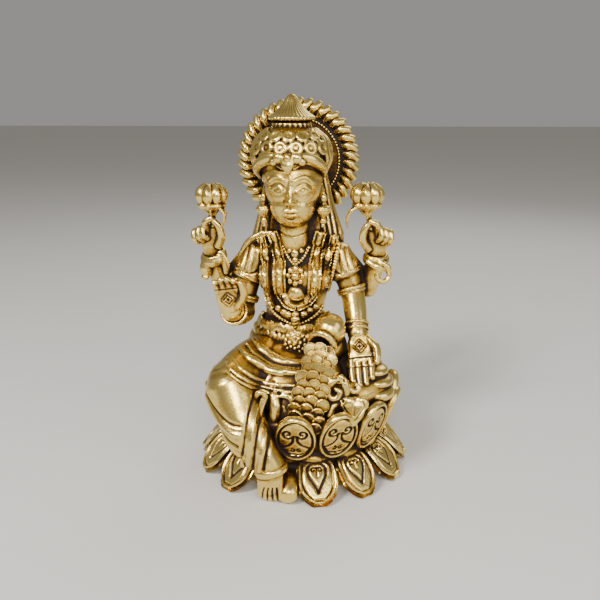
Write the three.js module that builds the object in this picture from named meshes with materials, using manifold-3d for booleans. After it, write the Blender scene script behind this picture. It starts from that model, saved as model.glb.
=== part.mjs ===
// A small cast brass figure of Lakshmi, seated on a lotus with one leg hanging down.
// Units are millimetres. +Z is up, the figure looks along -Y, and her right side is at -X.
// The origin is the middle of the lotus's flat underside.
import * as THREE from "three";
import { mergeVertices } from "three/addons/utils/BufferGeometryUtils.js";
import Module from "manifold-3d";

// Driving sizes of the lotus
const PETALS = 14; // in each of the two rings
const SEAT_HEIGHT = 16; // top of the seat above the ground
const SEAT_INSET = 0.8; // from the leaves' inner faces to the seat's edge
const CORE_FOOT_RADIUS = 16.6;
const WAIST_RADIUS = 15.3;
const WAIST_HEIGHT = 7;
const PETAL_TIP_RADIUS = 22.4; // lower ring
const PETAL_WIDTH = 6.6;
const PETAL_THICKNESS = 1.3;
const PETAL_RELIEF = 0.3; // how far its panel lies below its rim
const LEAF_LENGTH = 12; // upper ring, upright oval leaves
const LEAF_WIDTH = 7.5;
const LEAF_THICKNESS = 1.3;
const LEAF_HOLLOW = 0.4;
const LEAF_SIDES = 8;
const LEAF_LEAN = THREE.MathUtils.degToRad(20.5); // outwards from upright
const LEAF_FOOT_RADIUS = 17.4;
const LEAF_FOOT_RISE = 0.2; // above the waist

// Driving sizes of the figure. Its pose and carving are given in figure units, sixtieths of its height.
const FIGURE_HEIGHT = 60; // from the seat to the point of the crown
const FIGURE_SHIFT = -2; // her axis lies this far from the middle of the lotus
const FIGURE_UNITS = 60;
const UNIT = FIGURE_HEIGHT / FIGURE_UNITS;
const HALO_CENTRE = [0.2, 8.6, 46.8];
const HALO_RADIUS = 12.9 * UNIT; // to the tips of its twisted rim
const HALO_THICKNESS = 1.8 * UNIT;
const HALO_RIM_WIDTH = 3 * UNIT;
const HALO_LOBES = 34;
const LOBE_DEPTH = 0.5 * UNIT;
const LOBE_LIFT = 0.3; // as a share of the lobe's depth
const CROWN_CENTRE = [-0.4, 0.6, 48.4];
const CROWN_RADII = [7.8, 7.4, 6.6];
const CURLS = 12; // round the crown, in each of two rows
const LAP_BANDS = 5;
const COIN_ROWS = 7;
const COIN_THICKNESS = 0.8 * UNIT;
const BUD_PETALS = 8;

const BRASS = new THREE.MeshStandardMaterial({ color: "#c9a24e", roughness: 0.34, metalness: 1 });
const RIGHT_WARD = new THREE.Vector3(1, 0, 0); // to the viewer's right, her left
const UPWARD = new THREE.Vector3(0, 0, 1);
const FORWARD = new THREE.Vector3(0, -1, 0); // the way she looks
const FULL_TURN = 2 * Math.PI;
const DEGREE = Math.PI / 180;
const PETAL_STEP = FULL_TURN / PETALS;

const wasm = await Module();
wasm.setup();

// Closed solids from three.js geometry

function solid(geometry) {
  const bare = geometry.clone();
  bare.deleteAttribute("normal");
  bare.deleteAttribute("uv");
  const merged = mergeVertices(bare, 1e-4);
  const corners = merged.index.array;
  const kept = [];
  for (let i = 0; i < corners.length; i += 3) {
    const [a, b, c] = [corners[i], corners[i + 1], corners[i + 2]];
    if (a !== b && b !== c && a !== c) kept.push(a, b, c);
  }
  const vertProperties = new Float32Array(merged.attributes.position.array);
  return new wasm.Manifold(new wasm.Mesh({ numProp: 3, vertProperties, triVerts: new Uint32Array(kept) }));
}

function join(solids) {
  let left = solids.flat(Infinity);
  while (left.length > 1) {
    const next = [];
    for (let i = 0; i < left.length; i += 2) {
      next.push(i + 1 < left.length ? left[i].add(left[i + 1]) : left[i]);
    }
    left = next;
  }
  return left[0];
}

// The casting is solid: a shell of triangles that only closes off a void inside it is left out
function withoutVoids(position, corners) {
  const shellOf = Array.from({ length: position.length / 3 }, (_, i) => i);
  const find = (i) => {
    let root = i;
    while (shellOf[root] !== root) root = shellOf[root];
    shellOf[i] = root;
    return root;
  };
  for (let i = 0; i < corners.length; i += 3) {
    shellOf[find(corners[i + 1])] = find(corners[i]);
    shellOf[find(corners[i + 2])] = find(corners[i]);
  }
  const volume = new Map();
  const [a, b, c] = [new THREE.Vector3(), new THREE.Vector3(), new THREE.Vector3()];
  for (let i = 0; i < corners.length; i += 3) {
    [a, b, c].forEach((corner, k) => corner.fromArray(position, 3 * corners[i + k]));
    const shell = find(corners[i]);
    volume.set(shell, (volume.get(shell) ?? 0) + a.dot(b.cross(c)) / 6);
  }
  return corners.filter((_, i) => volume.get(find(corners[i])) > 0);
}

function geometryOf(joined) {
  const mesh = joined.getMesh();
  const geometry = new THREE.BufferGeometry();
  geometry.setAttribute("position", new THREE.BufferAttribute(mesh.vertProperties, 3));
  geometry.setIndex(new THREE.BufferAttribute(withoutVoids(mesh.vertProperties, mesh.triVerts), 1));
  geometry.computeVertexNormals();
  return geometry;
}

// Moves each vertex of a geometry to the point that the function gives for it
function reshape(geometry, place) {
  const position = geometry.attributes.position;
  const p = new THREE.Vector3();
  for (let i = 0; i < position.count; i += 1) {
    p.fromBufferAttribute(position, i);
    const q = place(p);
    position.setXYZ(i, q.x, q.y, q.z);
  }
  return geometry;
}

// The value at share t along an evenly spaced list
function along(values, t) {
  if (!Array.isArray(values)) return values;
  const place = THREE.MathUtils.clamp(t, 0, 1) * (values.length - 1);
  const low = Math.min(Math.floor(place), values.length - 2);
  return THREE.MathUtils.lerp(values[low], values[low + 1], place - low);
}

// A round-ended limb, fold or finger: a tube that follows a smooth line with a changing radius
function limb(points, radii, options = {}) {
  const { sides = 6, rings = 3, caps = 1, flat = 1, wide = RIGHT_WARD, tip = 0.7 } = options;
  const line = new THREE.CatmullRomCurve3(points);
  const tube = new THREE.CapsuleGeometry(1, 2, caps, sides, rings);
  return solid(reshape(tube, (p) => {
    const inside = THREE.MathUtils.clamp(p.y, -1, 1);
    const t = (inside + 1) / 2;
    const ahead = line.getTangent(t);
    const across = wide.clone().projectOnPlane(ahead).normalize();
    const out = across.clone().cross(ahead);
    const r = along(radii, t);
    return line.getPoint(t)
      .addScaledVector(across, p.x * r)
      .addScaledVector(out, p.z * r * along(flat, t))
      .addScaledVector(ahead, (p.y - inside) * r * tip);
  }));
}

function egg(centre, radii, options = {}) {
  const { sides = 6, rows = 3 } = options;
  const size = new THREE.Vector3(...radii);
  const ball = new THREE.SphereGeometry(1, sides, rows);
  return solid(reshape(ball, (p) => p.clone().multiply(size).add(centre)));
}

function outlineOf(pairs) {
  return pairs.map(([x, y]) => new THREE.Vector2(x, y));
}

// A turned solid: the profile's pairs are radius and height along the axis
function turned(profile, centre, axis, sides, start = 0) {
  const lathe = new THREE.LatheGeometry(outlineOf(profile), sides, start);
  const latheAxis = new THREE.Vector3(0, 1, 0);
  const spin = new THREE.Quaternion().setFromUnitVectors(latheAxis, axis.clone().normalize());
  return solid(reshape(lathe, (p) => p.clone().applyQuaternion(spin).add(centre)));
}

// A point of the figure: x from her axis, y from the lotus's axis, z above the seat, in figure units
function at(x, y, z) {
  return new THREE.Vector3(FIGURE_SHIFT + x * UNIT, y * UNIT, SEAT_HEIGHT + z * UNIT);
}

function path(...points) {
  return points.map((point) => at(...point));
}

function lengths(...values) {
  return values.map((value) => value * UNIT);
}

function lathed(profile) {
  return profile.map(([r, h]) => [r * UNIT, h * UNIT]);
}

// A point on the lotus, at an angle from the front towards +X
function polar(angle, radius, height) {
  return new THREE.Vector3(radius * Math.sin(angle), -radius * Math.cos(angle), height);
}

// The lotus

function lotusCore() {
  const leafInside = LEAF_THICKNESS / Math.cos(LEAF_LEAN) + SEAT_INSET;
  const seatRadius = LEAF_FOOT_RADIUS + (SEAT_HEIGHT - WAIST_HEIGHT) * Math.tan(LEAF_LEAN) - leafInside;
  const chamfer = 0.8;
  const profile = [
    [0, 0],
    [CORE_FOOT_RADIUS, 0],
    [(CORE_FOOT_RADIUS + WAIST_RADIUS) / 2, 0.75 * WAIST_HEIGHT],
    [WAIST_RADIUS, WAIST_HEIGHT],
    [LEAF_FOOT_RADIUS, WAIST_HEIGHT + 2],
    [seatRadius, SEAT_HEIGHT - chamfer],
    [0, SEAT_HEIGHT],
  ];
  return turned(profile, new THREE.Vector3(), UPWARD, PETALS, PETAL_STEP / 2);
}

// A tongue-shaped petal that droops from the waist to the ground, hollowed along its middle
function droopingPetal(angle) {
  const rootRadius = WAIST_RADIUS - 0.6;
  const reach = PETAL_TIP_RADIUS - rootRadius;
  const drop = WAIST_HEIGHT - PETAL_THICKNESS / 2;
  const radiusAt = (t) => rootRadius + reach * t;
  const heightAt = (t) => {
    const share = THREE.MathUtils.clamp(t, 0, 1);
    return PETAL_THICKNESS / 2 + drop * Math.pow(Math.max(Math.cos((share * Math.PI) / 2), 0), 1.25);
  };
  const halfWidthAt = (t) => (PETAL_WIDTH / 2) * Math.sqrt(1 - Math.pow((t - 0.45) / 0.62, 2));
  const block = new THREE.BoxGeometry(2, 2, 2, 2, 1, 3);
  return solid(reshape(block, (p) => {
    const t = (p.z + 1) / 2;
    const step = 0.01;
    const fall = heightAt(t - step) - heightAt(t + step);
    const slope = Math.atan2(fall, radiusAt(t + step) - radiusAt(t - step));
    const hollow = p.x === 0 && p.y > 0 ? PETAL_RELIEF : 0;
    const lift = (p.y * PETAL_THICKNESS) / 2 - hollow;
    const height = Math.max(heightAt(t) + lift * Math.cos(slope), 0);
    const point = polar(angle, radiusAt(t) + lift * Math.sin(slope), height);
    return point.addScaledVector(polar(angle + Math.PI / 2, 1, 0), p.x * halfWidthAt(t));
  }));
}

// An oval leaf of the upper ring, leaning outwards, with its face hollowed
function uprightLeaf(angle) {
  const profile = [[0, 0], [1, 0], [1, LEAF_THICKNESS], [0, LEAF_THICKNESS - LEAF_HOLLOW]];
  const dish = new THREE.LatheGeometry(outlineOf(profile), LEAF_SIDES);
  const foot = polar(angle, LEAF_FOOT_RADIUS, WAIST_HEIGHT + LEAF_FOOT_RISE);
  const across = polar(angle + Math.PI / 2, 1, 0);
  const up = polar(angle, Math.sin(LEAF_LEAN), Math.cos(LEAF_LEAN));
  const out = across.clone().cross(up);
  return solid(reshape(dish, (p) => foot.clone()
    .addScaledVector(across, (p.x * LEAF_WIDTH) / 2)
    .addScaledVector(up, ((1 - p.z) * LEAF_LENGTH) / 2)
    .addScaledVector(out, p.y - LEAF_THICKNESS)));
}

function lotus() {
  const parts = [lotusCore()];
  for (let k = 0; k < PETALS; k += 1) {
    parts.push(droopingPetal((k + 0.5) * PETAL_STEP), uprightLeaf(k * PETAL_STEP));
  }
  return parts;
}

// Head, crown, halo and hair

function head() {
  const eyes = [-1, 1].map((side) => egg(at(side * 2.45, -6.1, 42.3), lengths(1.45, 0.75, 0.6)));
  return [
    egg(at(0, -0.6, 42), lengths(5.8, 6.2, 7.2), { sides: 10, rows: 6 }),
    limb([at(0, -4.9, 37), at(0, -1.5, 37.6)], lengths(2.1, 3.4), { sides: 8, rings: 1 }),
    limb([at(0, -6.3, 43.2), at(0, -7.5, 40)], lengths(0.6, 1), { sides: 5, rings: 1 }),
    egg(at(0, -6.5, 37.7), lengths(1.5, 0.8, 0.65)),
    limb([at(0.2, 0.4, 29), at(0.1, 0.2, 36)], lengths(3.3, 2.9), { sides: 8, rings: 1 }),
    ...eyes,
  ];
}

// A point on the crown's dome, at an angle from the front and a share of its height
function onCrown(angle, share) {
  const [x, y, z] = CROWN_CENTRE;
  const [wide, deep, tall] = CROWN_RADII;
  const spread = Math.sqrt(1 - share * share);
  return at(x + wide * spread * Math.sin(angle), y - deep * spread * Math.cos(angle), z + tall * share);
}

function crown() {
  // Two rows of round curls stand out of the dome
  const ball = new THREE.SphereGeometry(1, 2 * CURLS, 8);
  const dome = solid(reshape(ball, (p) => {
    const column = Math.round((Math.atan2(p.z, -p.x) * CURLS) / Math.PI);
    const row = Math.round((Math.acos(THREE.MathUtils.clamp(p.y, -1, 1)) * 8) / Math.PI);
    const lower = row === 4 && column % 2 === 0;
    const upper = row === 2 && column % 2 !== 0;
    const swell = lower || upper ? 1.1 : 0.95;
    const [wide, deep, tall] = CROWN_RADII;
    const bump = new THREE.Vector3(p.x * wide, -p.z * deep, p.y * tall).multiplyScalar(swell * UNIT);
    return at(...CROWN_CENTRE).add(bump);
  }));
  const parts = [dome];
  const band = [-80, -48, -20, 0, 20, 48, 80].map((angle) => {
    const dip = angle === 0 ? -1.1 * UNIT : 0;
    return onCrown(angle * DEGREE, -0.42 - 0.0055 * Math.abs(angle)).add(new THREE.Vector3(0, 0, dip));
  });
  parts.push(limb(band, lengths(0.9, 1.1, 1.1, 1.25, 1.1, 1.1, 0.9), { sides: 4, rings: 6, wide: UPWARD }));
  parts.push(egg(at(-0.1, -7.6, 45.7), lengths(1.5, 0.9, 1.7), { sides: 5 }));
  const foot = new THREE.Vector3(FIGURE_SHIFT + CROWN_CENTRE[0] * UNIT, 1.2 * UNIT, SEAT_HEIGHT);
  const cap = [[0, 52], [4, 53.2], [3.5, 54.2], [4.8, 55.4], [4.2, 56.4], [0, 60]];
  parts.push(turned(lathed(cap), foot, UPWARD, 9));
  return parts;
}

// A dish with a twisted rope for a rim: its lobes lean, as the outline is turned between back and front
function halo() {
  const centre = at(...HALO_CENTRE);
  const half = HALO_THICKNESS / 2;
  const profile = [
    [0, -half],
    [HALO_RADIUS - UNIT, -half],
    [HALO_RADIUS, 0],
    [HALO_RADIUS - HALO_RIM_WIDTH, half],
    [0, -0.3 * half],
  ];
  const dish = new THREE.LatheGeometry(outlineOf(profile), 2 * HALO_LOBES);
  return solid(reshape(dish, (p) => {
    const radius = Math.hypot(p.x, p.z);
    const angle = Math.atan2(p.z, p.x);
    const lobe = LOBE_DEPTH * Math.cos(angle * HALO_LOBES);
    const rim = radius > HALO_RADIUS / 2;
    const swell = rim ? lobe * (p.y > 0 ? -1 : 1) : 0;
    const lift = rim ? LOBE_LIFT * Math.sign(p.y) * Math.abs(lobe) : 0;
    const place = new THREE.Vector3(p.x, 0, -p.z).setLength(rim ? radius - LOBE_DEPTH + swell : 0);
    return new THREE.Vector3(place.x, -p.y - lift, place.z).add(centre);
  }));
}

function hair() {
  const fall = path([0.2, 5.6, 46], [0.3, 5, 38], [0.5, 4.2, 32], [0.8, 3.6, 28]);
  const back = path([0.2, 6.6, 44], [0.3, 7.8, 36], [0.4, 8.3, 26], [0.4, 8.2, 14]);
  return [
    limb(fall, lengths(6.2, 7.4, 8.8, 8.6), { sides: 10, flat: [0.55, 0.5, 0.4, 0.4], tip: 0.4 }),
    limb(back, lengths(3.2, 3, 2.6, 1.4)),
  ];
}

function earring(side) {
  const bell = [[0, 0], [0.9, 0.7], [0.5, 1.3], [1.5, 1.6], [0.7, 3.8], [0.9, 6.6], [0, 7.4]];
  return turned(lathed(bell), at(side * 5.9 + 0.1, -0.6, 34.6), UPWARD, 5);
}

// The body and what she wears on it

function torso() {
  const spine = path(
    [0.5, 3, 0], [0.4, 2.8, 5], [0.1, 2.4, 10], [0, 2.2, 15.5], [0.2, 2, 21], [0.5, 2, 26.5], [0.6, 1.6, 31],
  );
  return [
    limb(spine, lengths(12, 11.6, 8.6, 6, 6.9, 8.4, 4.2), {
      sides: 10, rings: 7, flat: [0.72, 0.72, 0.74, 0.8, 0.74, 0.6, 0.7], tip: 0.1,
    }),
    egg(at(-3.1, -2.1, 24), lengths(3.3, 3, 3.2), { sides: 7, rows: 4 }),
    egg(at(3.5, -2.1, 24), lengths(3.3, 3, 3.2), { sides: 7, rows: 4 }),
    egg(at(0.3, -1.6, 17.8), lengths(3.3, 2.7, 3.2), { rows: 4 }),
  ];
}

function garland() {
  const band = { sides: 4, flat: 0.7 };
  const inner = path(
    [-5, -0.4, 32.4], [-3.8, -3.6, 28.6], [-3.6, -5.3, 24], [-3.4, -4.4, 19], [-0.2, -5, 14.6],
    [3.6, -4.5, 18.6], [4.1, -5.3, 24], [4.6, -3.7, 28.8], [6.6, -0.4, 33],
  );
  const innerRadii = lengths(1.2, 1.4, 1.3, 1.2, 0.9, 1.2, 1.3, 1.4, 1.2);
  const girdle = path([-5.6, -2.4, 17], [-3.2, -5, 14.6], [0, -5.8, 12.8], [3.2, -5, 14.6], [5.8, -2.2, 17]);
  const right = path([-7.6, 0, 31.4], [-6.6, -3, 27], [-6, -4.2, 22.5], [-5.4, -3, 17.5]);
  const left = path([8.6, 0, 31.6], [7.6, -3, 27.4], [6.6, -4.4, 22.5], [5.6, -3.2, 18]);
  return [
    limb(inner, innerRadii, { sides: 4, rings: 10, flat: 0.8 }),
    limb(right, lengths(1.1, 1.2, 1.1, 0.7), band),
    limb(left, lengths(1.1, 1.3, 1.2, 0.8), band),
    limb(girdle, lengths(0.7, 0.9, 1, 0.9, 0.7), { sides: 4, rings: 4 }),
    egg(at(0.2, -3.8, 22.3), lengths(1.9, 1.9, 1.8)),
    egg(at(0.1, -3.4, 27.6), lengths(1, 1.2, 1.8), { sides: 5 }),
  ];
}

function belt() {
  const hips = path([-9.4, -1, 9.4], [-5.6, -5.2, 10.4], [0, -6.8, 10], [5.2, -5.2, 10.2], [8.6, -1, 9.6]);
  return [
    limb(hips, lengths(1.1, 1.3, 1.2, 1.2, 1), { sides: 5, rings: 5 }),
    egg(at(0.8, -7.8, 9.6), lengths(1.9, 1.5, 2.2)),
  ];
}

// Hands: a palm with four fingers and a thumb, placed in a frame of the palm's own

function handFrame(wrist, fingersTo, palmTo) {
  const up = fingersTo.clone().normalize();
  const out = palmTo.clone().projectOnPlane(up).normalize();
  const across = up.clone().cross(out);
  const put = (x, y, z) => wrist.clone().addScaledVector(across, x * UNIT).addScaledVector(up, y * UNIT)
    .addScaledVector(out, z * UNIT);
  return { put, across };
}

// An open hand is one outline of fingers, thumb and palm, given thickness and thinned towards its tips
function openHand(wrist, fingersTo, palmTo) {
  const { put } = handFrame(wrist, fingersTo, palmTo);
  const [knuckles, halfFinger, halfWrist, thumbFrom] = [4.4, 0.62, 1.8, 2.9];
  const [palmHalf, tipHalf, reachMost] = [1.2, 0.55, 9];
  const outline = [[-halfWrist, -0.6], [-2.7, 2.4]];
  [[-2, 8], [-0.67, 9.3], [0.67, 9.5], [2, 8.6]].forEach(([x, reach]) => {
    const narrow = 0.7 * halfFinger;
    outline.push([x - halfFinger, knuckles], [x - narrow, reach]);
    outline.push([x + narrow, reach], [x + halfFinger, knuckles]);
  });
  outline.push([2.8, 3.6], [3.3, 6], [4.4, 5.6], [3.9, 2.8], [2.6, 0.9], [halfWrist, -0.6]);
  const shape = new THREE.Shape(outlineOf(outline));
  const plate = new THREE.ExtrudeGeometry(shape, { depth: 1, steps: 1, bevelEnabled: false });
  return solid(reshape(plate, (p) => {
    const half = THREE.MathUtils.lerp(palmHalf, tipHalf, THREE.MathUtils.clamp(p.y / reachMost, 0, 1));
    const curl = 0.008 * p.y * p.y + (p.x > thumbFrom ? 0.7 : 0);
    return put(p.x, p.y, curl + half * (2 * p.z - 1));
  }));
}

// A hand that holds a lotus up between the forefinger and the thumb, with the other fingers curled
function holdingHand(wrist, bud, side) {
  const fingersTo = bud.clone().sub(wrist);
  const { put, across } = handFrame(wrist, fingersTo, FORWARD);
  const palm = { rings: 2, flat: 0.6, wide: across, tip: 0.5 };
  const thumb = [put(-side * 1.4, 2.6, 0.4), put(-side * 2.6, 5.6, 0.6), put(-side * 1.4, 8.6, 0.2)];
  const parts = [
    limb([put(0, 0, 0), put(0, 2.8, 0), put(0, 5.2, 0)], lengths(1.8, 2.6, 2.3), palm),
    limb(thumb, lengths(1, 0.85, 0.7), { sides: 4, rings: 2 }),
    limb([put(side * 0.6, 4.6, 0), put(0, 10.4, 0)], lengths(0.95, 0.75), { sides: 4, rings: 1 }),
  ];
  const fist = [put(side * 0.4, 5, 1), put(side * 3.4, 3.4, 0.8)];
  parts.push(limb(fist, lengths(1.5, 1.1, 1.5, 1.1, 1.5), { sides: 5, rings: 4, wide: fingersTo }));
  return parts;
}

// A bud of eight petals, with the cup of the flower under it
function lotusBud(centre) {
  const ball = new THREE.SphereGeometry(1, 2 * BUD_PETALS, 4);
  const [budRadius, halfHeight] = [3.4, 2.6];
  const dome = solid(reshape(ball, (p) => {
    const wide = budRadius * (0.94 + 0.06 * Math.cos(Math.atan2(p.z, p.x) * BUD_PETALS));
    return new THREE.Vector3(p.x * wide, -p.z * wide, p.y * halfHeight).multiplyScalar(UNIT).add(centre);
  }));
  const cup = lathed([[0, -4.6], [0.9, -3.8], [2.6, -1.9], [2.4, -0.8], [0, -0.6]]);
  return [dome, turned(cup, centre, UPWARD, 6)];
}

// Her front hand is raised, its palm forward, and her rear hand holds up a lotus
function rightArms() {
  const shoulder = at(-7, 1.6, 28);
  const elbow = at(-10.6, -0.6, 16.6);
  const wrist = at(-10.8, -7.4, 17.6);
  const rearElbow = at(-14.4, 3, 20.4);
  const rearWrist = at(-17, 0.4, 28.4);
  const bud = at(-16.2, -1.8, 41.2);
  return [
    limb([shoulder, at(-9.6, 0.8, 22), elbow], lengths(3.5, 3.6, 2.8, 2.7, 2.6), { sides: 7, rings: 4 }),
    limb([elbow, wrist], lengths(2.7, 2.4, 2.2, 2.8, 2), { sides: 7, rings: 4 }),
    openHand(wrist, new THREE.Vector3(-0.12, -0.22, 1), FORWARD),
    limb([at(-6.6, 3.2, 28.4), rearElbow], lengths(3, 2.4), { rings: 1 }),
    limb([rearElbow, at(-16.1, 1.8, 24.4), rearWrist], lengths(2.4, 2.3, 2.1, 2.8, 1.8), { rings: 4 }),
    holdingHand(rearWrist, bud, 1),
    egg(at(-18.4, -0.6, 25.6), lengths(1.3, 1.3, 2), { sides: 5 }),
    lotusBud(bud),
    limb([at(-5.4, 1, 32.4), at(-13.2, 2.6, 26.8)], lengths(1.7, 1.4), { rings: 2 }),
  ];
}

// Her front hand is lowered, its palm forward, and her rear hand holds up a lotus
function leftArms() {
  const shoulder = at(8.6, 1.8, 28.4);
  const elbow = at(12.2, 0.6, 20.4);
  const wrist = at(13.2, -4.8, 14);
  const rearElbow = at(14.8, 4.4, 21);
  const rearWrist = at(16.9, 1.2, 28.4);
  const bud = at(14.6, -1.8, 41.6);
  return [
    limb([shoulder, at(10.8, 1.4, 24.4), elbow], lengths(3.5, 3.5, 2.8, 2.6, 2.4), { sides: 7, rings: 4 }),
    limb([elbow, wrist], lengths(2.4, 2.2, 2, 2.7, 1.9), { sides: 7, rings: 4 }),
    openHand(wrist, new THREE.Vector3(0.1, -0.62, -0.8), new THREE.Vector3(0, -0.9, 0.4)),
    limb([at(8.4, 3.6, 28.4), rearElbow], lengths(2.9, 2.4), { rings: 1 }),
    limb([rearElbow, at(16.3, 3, 24.8), rearWrist], lengths(2.4, 2.2, 2.1, 2.8, 1.8), { rings: 4 }),
    holdingHand(rearWrist, bud, -1),
    egg(at(18.2, 0, 25.4), lengths(1.4, 1.3, 1.8), { sides: 5 }),
    lotusBud(bud),
  ];
}

// Legs, drapery and what lies in her lap

function between(start, end, share, bulge) {
  return start.clone().lerp(end, share).addScaledVector(FORWARD, bulge * UNIT);
}

// The hanging foot stands on the drooping petal beside the front of the lotus
function rightLeg() {
  const footAngle = -0.5 * PETAL_STEP;
  const toes = polar(footAngle, PETAL_TIP_RADIUS + 0.2, PETAL_THICKNESS + 0.6);
  const ankle = polar(footAngle, PETAL_TIP_RADIUS - 1.6, WAIST_HEIGHT);
  const knee = at(-11, -14.6, 5.4);
  const parts = [
    limb([at(-4, 1.5, 6), at(-7.6, -7, 6.4), knee], lengths(6.4, 6, 5.1), { sides: 8, caps: 2 }),
    limb([knee, between(knee, ankle, 0.5, 1.4), ankle], lengths(5.1, 4.3, 3), { sides: 8, caps: 2 }),
    limb([ankle, toes], lengths(2.6, 2.5), { sides: 8, rings: 1, flat: [0.9, 0.5] }),
  ];
  // The pleats of the hem on the inner side of the shin, and the fold under the knee
  for (let k = 0; k < 3; k += 1) {
    const fromKnee = new THREE.Vector3(3.4 + 1.3 * k, 1.8 * k - 0.4, 2.6 - 1.1 * k);
    const fromAnkle = new THREE.Vector3(1.2 + 0.6 * k, 0.5 * k, 0.3 * k);
    const top = knee.clone().addScaledVector(fromKnee, UNIT);
    const low = ankle.clone().addScaledVector(fromAnkle, UNIT);
    const pleat = [top, between(top, low, 0.5, 1 - 0.3 * k), low];
    parts.push(limb(pleat, lengths(0.9, 1.1, 0.8), { sides: 4, rings: 2 }));
  }
  const fold = path([-15.2, -14.6, 2], [-13.2, -19, 1.6], [-9.8, -20.4, 2.2]);
  parts.push(limb(fold, lengths(0.6, 0.9, 0.5), { sides: 4, rings: 2 }));
  for (let k = -2; k <= 2; k += 1) {
    const side = polar(footAngle + Math.PI / 2, k * 1.02 * UNIT, 0);
    const toe = [between(ankle, toes, 0.6, 0).add(side), toes.clone().add(side)];
    parts.push(limb(toe, lengths(0.55, 0.5), { sides: 4, rings: 1 }));
  }
  return parts;
}

// The folded leg lies along the seat, its cloth gathered round the knee
function leftLeg() {
  const knee = at(17.2, -7.4, 3.6);
  const parts = [
    limb([at(5, 2, 5), at(11.5, -2.6, 5.6), knee], lengths(5.8, 5, 3.5), { sides: 8 }),
    limb([knee, at(11.5, -12, 3), at(4.4, -14.4, 2.4)], lengths(3.3, 3, 2.6)),
  ];
  for (let k = 0; k < 3; k += 1) {
    const fold = path(
      [14.6 - 1.8 * k, -4.2 - 0.6 * k, 8 + 0.3 * k],
      [15.8 - 1.9 * k, -8.8 - 0.8 * k, 6.4],
      [15 - 2 * k, -11.4 - 0.8 * k, 2.6],
    );
    parts.push(limb(fold, lengths(0.5, 0.9, 0.6), { sides: 4, rings: 2 }));
  }
  return parts;
}

// Thick rolled bands of cloth sweep across the lap, from her right hip down towards her left knee
function lap() {
  const slope = new THREE.Vector3(1, 0, -0.24);
  const [groove, band] = [5.8, 7.8];
  const bands = Array.from({ length: 2 * LAP_BANDS + 1 }, (_, k) => (k % 2 === 0 ? groove : band) * UNIT);
  const drop = path([-1.6, -2.5, 10.4], [-2.2, -8, 10.2], [-1, -12.8, 8.2], [0.8, -15.4, 3]);
  const parts = [
    limb(drop, bands, { sides: 9, rings: 2 * LAP_BANDS, wide: slope, flat: 0.4, tip: 0.4 }),
    limb([at(-7, -6, 4.4), at(8, -7.6, 4.4)], lengths(5.2, 4.6), { sides: 8, rings: 1, wide: FORWARD }),
  ];
  // The sash's pleats that hang between the legs
  for (let k = 0; k < 2; k += 1) {
    const x = -3.4 + 2.4 * k;
    const pleat = path([x + 0.5, -14.6, 5.4], [x, -17, 2], [x + 0.4, -16.6, -1.6]);
    parts.push(limb(pleat, lengths(0.9, 1.2, 0.9), { sides: 4, rings: 1 }));
  }
  return parts;
}

function pot() {
  const mouth = at(6.4, -10.4, 13.2);
  const belly = at(7.8, -6.8, 15);
  const rim = [[0, -2.4], [2.2, -2.2], [2, -0.9], [2.9, 0], [1.7, 0.3], [0, -1]];
  return [
    egg(belly, lengths(3.2, 3.2, 3.2), { sides: 8, rows: 5 }),
    turned(lathed(rim), mouth, mouth.clone().sub(belly), 8),
    egg(at(8, -4.4, 11), lengths(3.6, 3.6, 4)),
  ];
}

// Coins pour from the pot in rows of three, the lower rows over the upper ones
function coins() {
  const fall = new THREE.CatmullRomCurve3(path(
    [6.2, -10.6, 12.4], [5.6, -13.4, 9.6], [4.8, -16, 6.6], [4.2, -17.4, 3.2], [3.4, -18.2, 0.2],
  ));
  const [bedDepth, halfWidthAtTop, halfWidthAtFoot] = lengths(3, 2.3, 3.3);
  const strip = new THREE.BoxGeometry(2, 2, 2, 6, 2 * COIN_ROWS, 1);
  return solid(reshape(strip, (p) => {
    const step = (p.y + 1) * COIN_ROWS;
    const row = (2 * COIN_ROWS - Math.round(step)) / 2;
    const onTop = Math.abs(row - Math.round(row)) < 0.25;
    // A coin's round upper edge stands highest in its middle
    const middle = p.z > 0 && Math.abs(Math.round(p.x * 3)) % 2 === 1;
    const t = THREE.MathUtils.clamp((row + (onTop ? 0.1 : 0.35) - (middle ? 0.35 : -0.1)) / COIN_ROWS, 0, 1);
    const ahead = fall.getTangent(t);
    const across = RIGHT_WARD.clone().projectOnPlane(ahead).normalize();
    const out = ahead.clone().cross(across);
    const width = THREE.MathUtils.lerp(halfWidthAtTop, halfWidthAtFoot, t);
    const face = onTop ? COIN_THICKNESS : 0;
    const height = p.z > 0 ? face : -bedDepth;
    return fall.getPoint(t).addScaledVector(across, p.x * width).addScaledVector(out, height);
  }));
}

// The scrolled ornament and the leaf on the seat in front of the folded leg
function scroll() {
  const curl = path(
    [8.6, -14.4, 6.6], [10.6, -14.6, 6.8], [11.2, -15, 4.4], [9.6, -15.4, 3], [8.4, -15.2, 4.2],
  );
  const tail = path([10.8, -14.6, 6.2], [12.4, -14, 4.6], [13.4, -13.2, 5.4]);
  return [
    limb(curl, lengths(0.7, 0.95, 0.85, 0.8, 0.6), { sides: 4, rings: 6 }),
    limb(tail, lengths(0.9, 0.8, 0.6), { sides: 4, rings: 2 }),
    egg(at(12.6, -14.4, 2.4), lengths(1.9, 1.3, 1.8)),
  ];
}

const figure = [
  lotus(), head(), crown(), halo(), hair(), earring(-1), earring(1), torso(), garland(), belt(),
  rightArms(), leftArms(), rightLeg(), leftLeg(), lap(), pot(), coins(), scroll(),
];
const casting = new THREE.Mesh(geometryOf(join(figure)), BRASS);
casting.name = "lakshmi_casting";

const group = new THREE.Group();
group.add(casting);
export default group;
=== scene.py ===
import math

import bmesh
import bpy
import numpy as np
from bpy.props import FloatProperty, FloatVectorProperty, IntProperty, PointerProperty
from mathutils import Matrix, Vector
from mathutils.bvhtree import BVHTree


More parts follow.
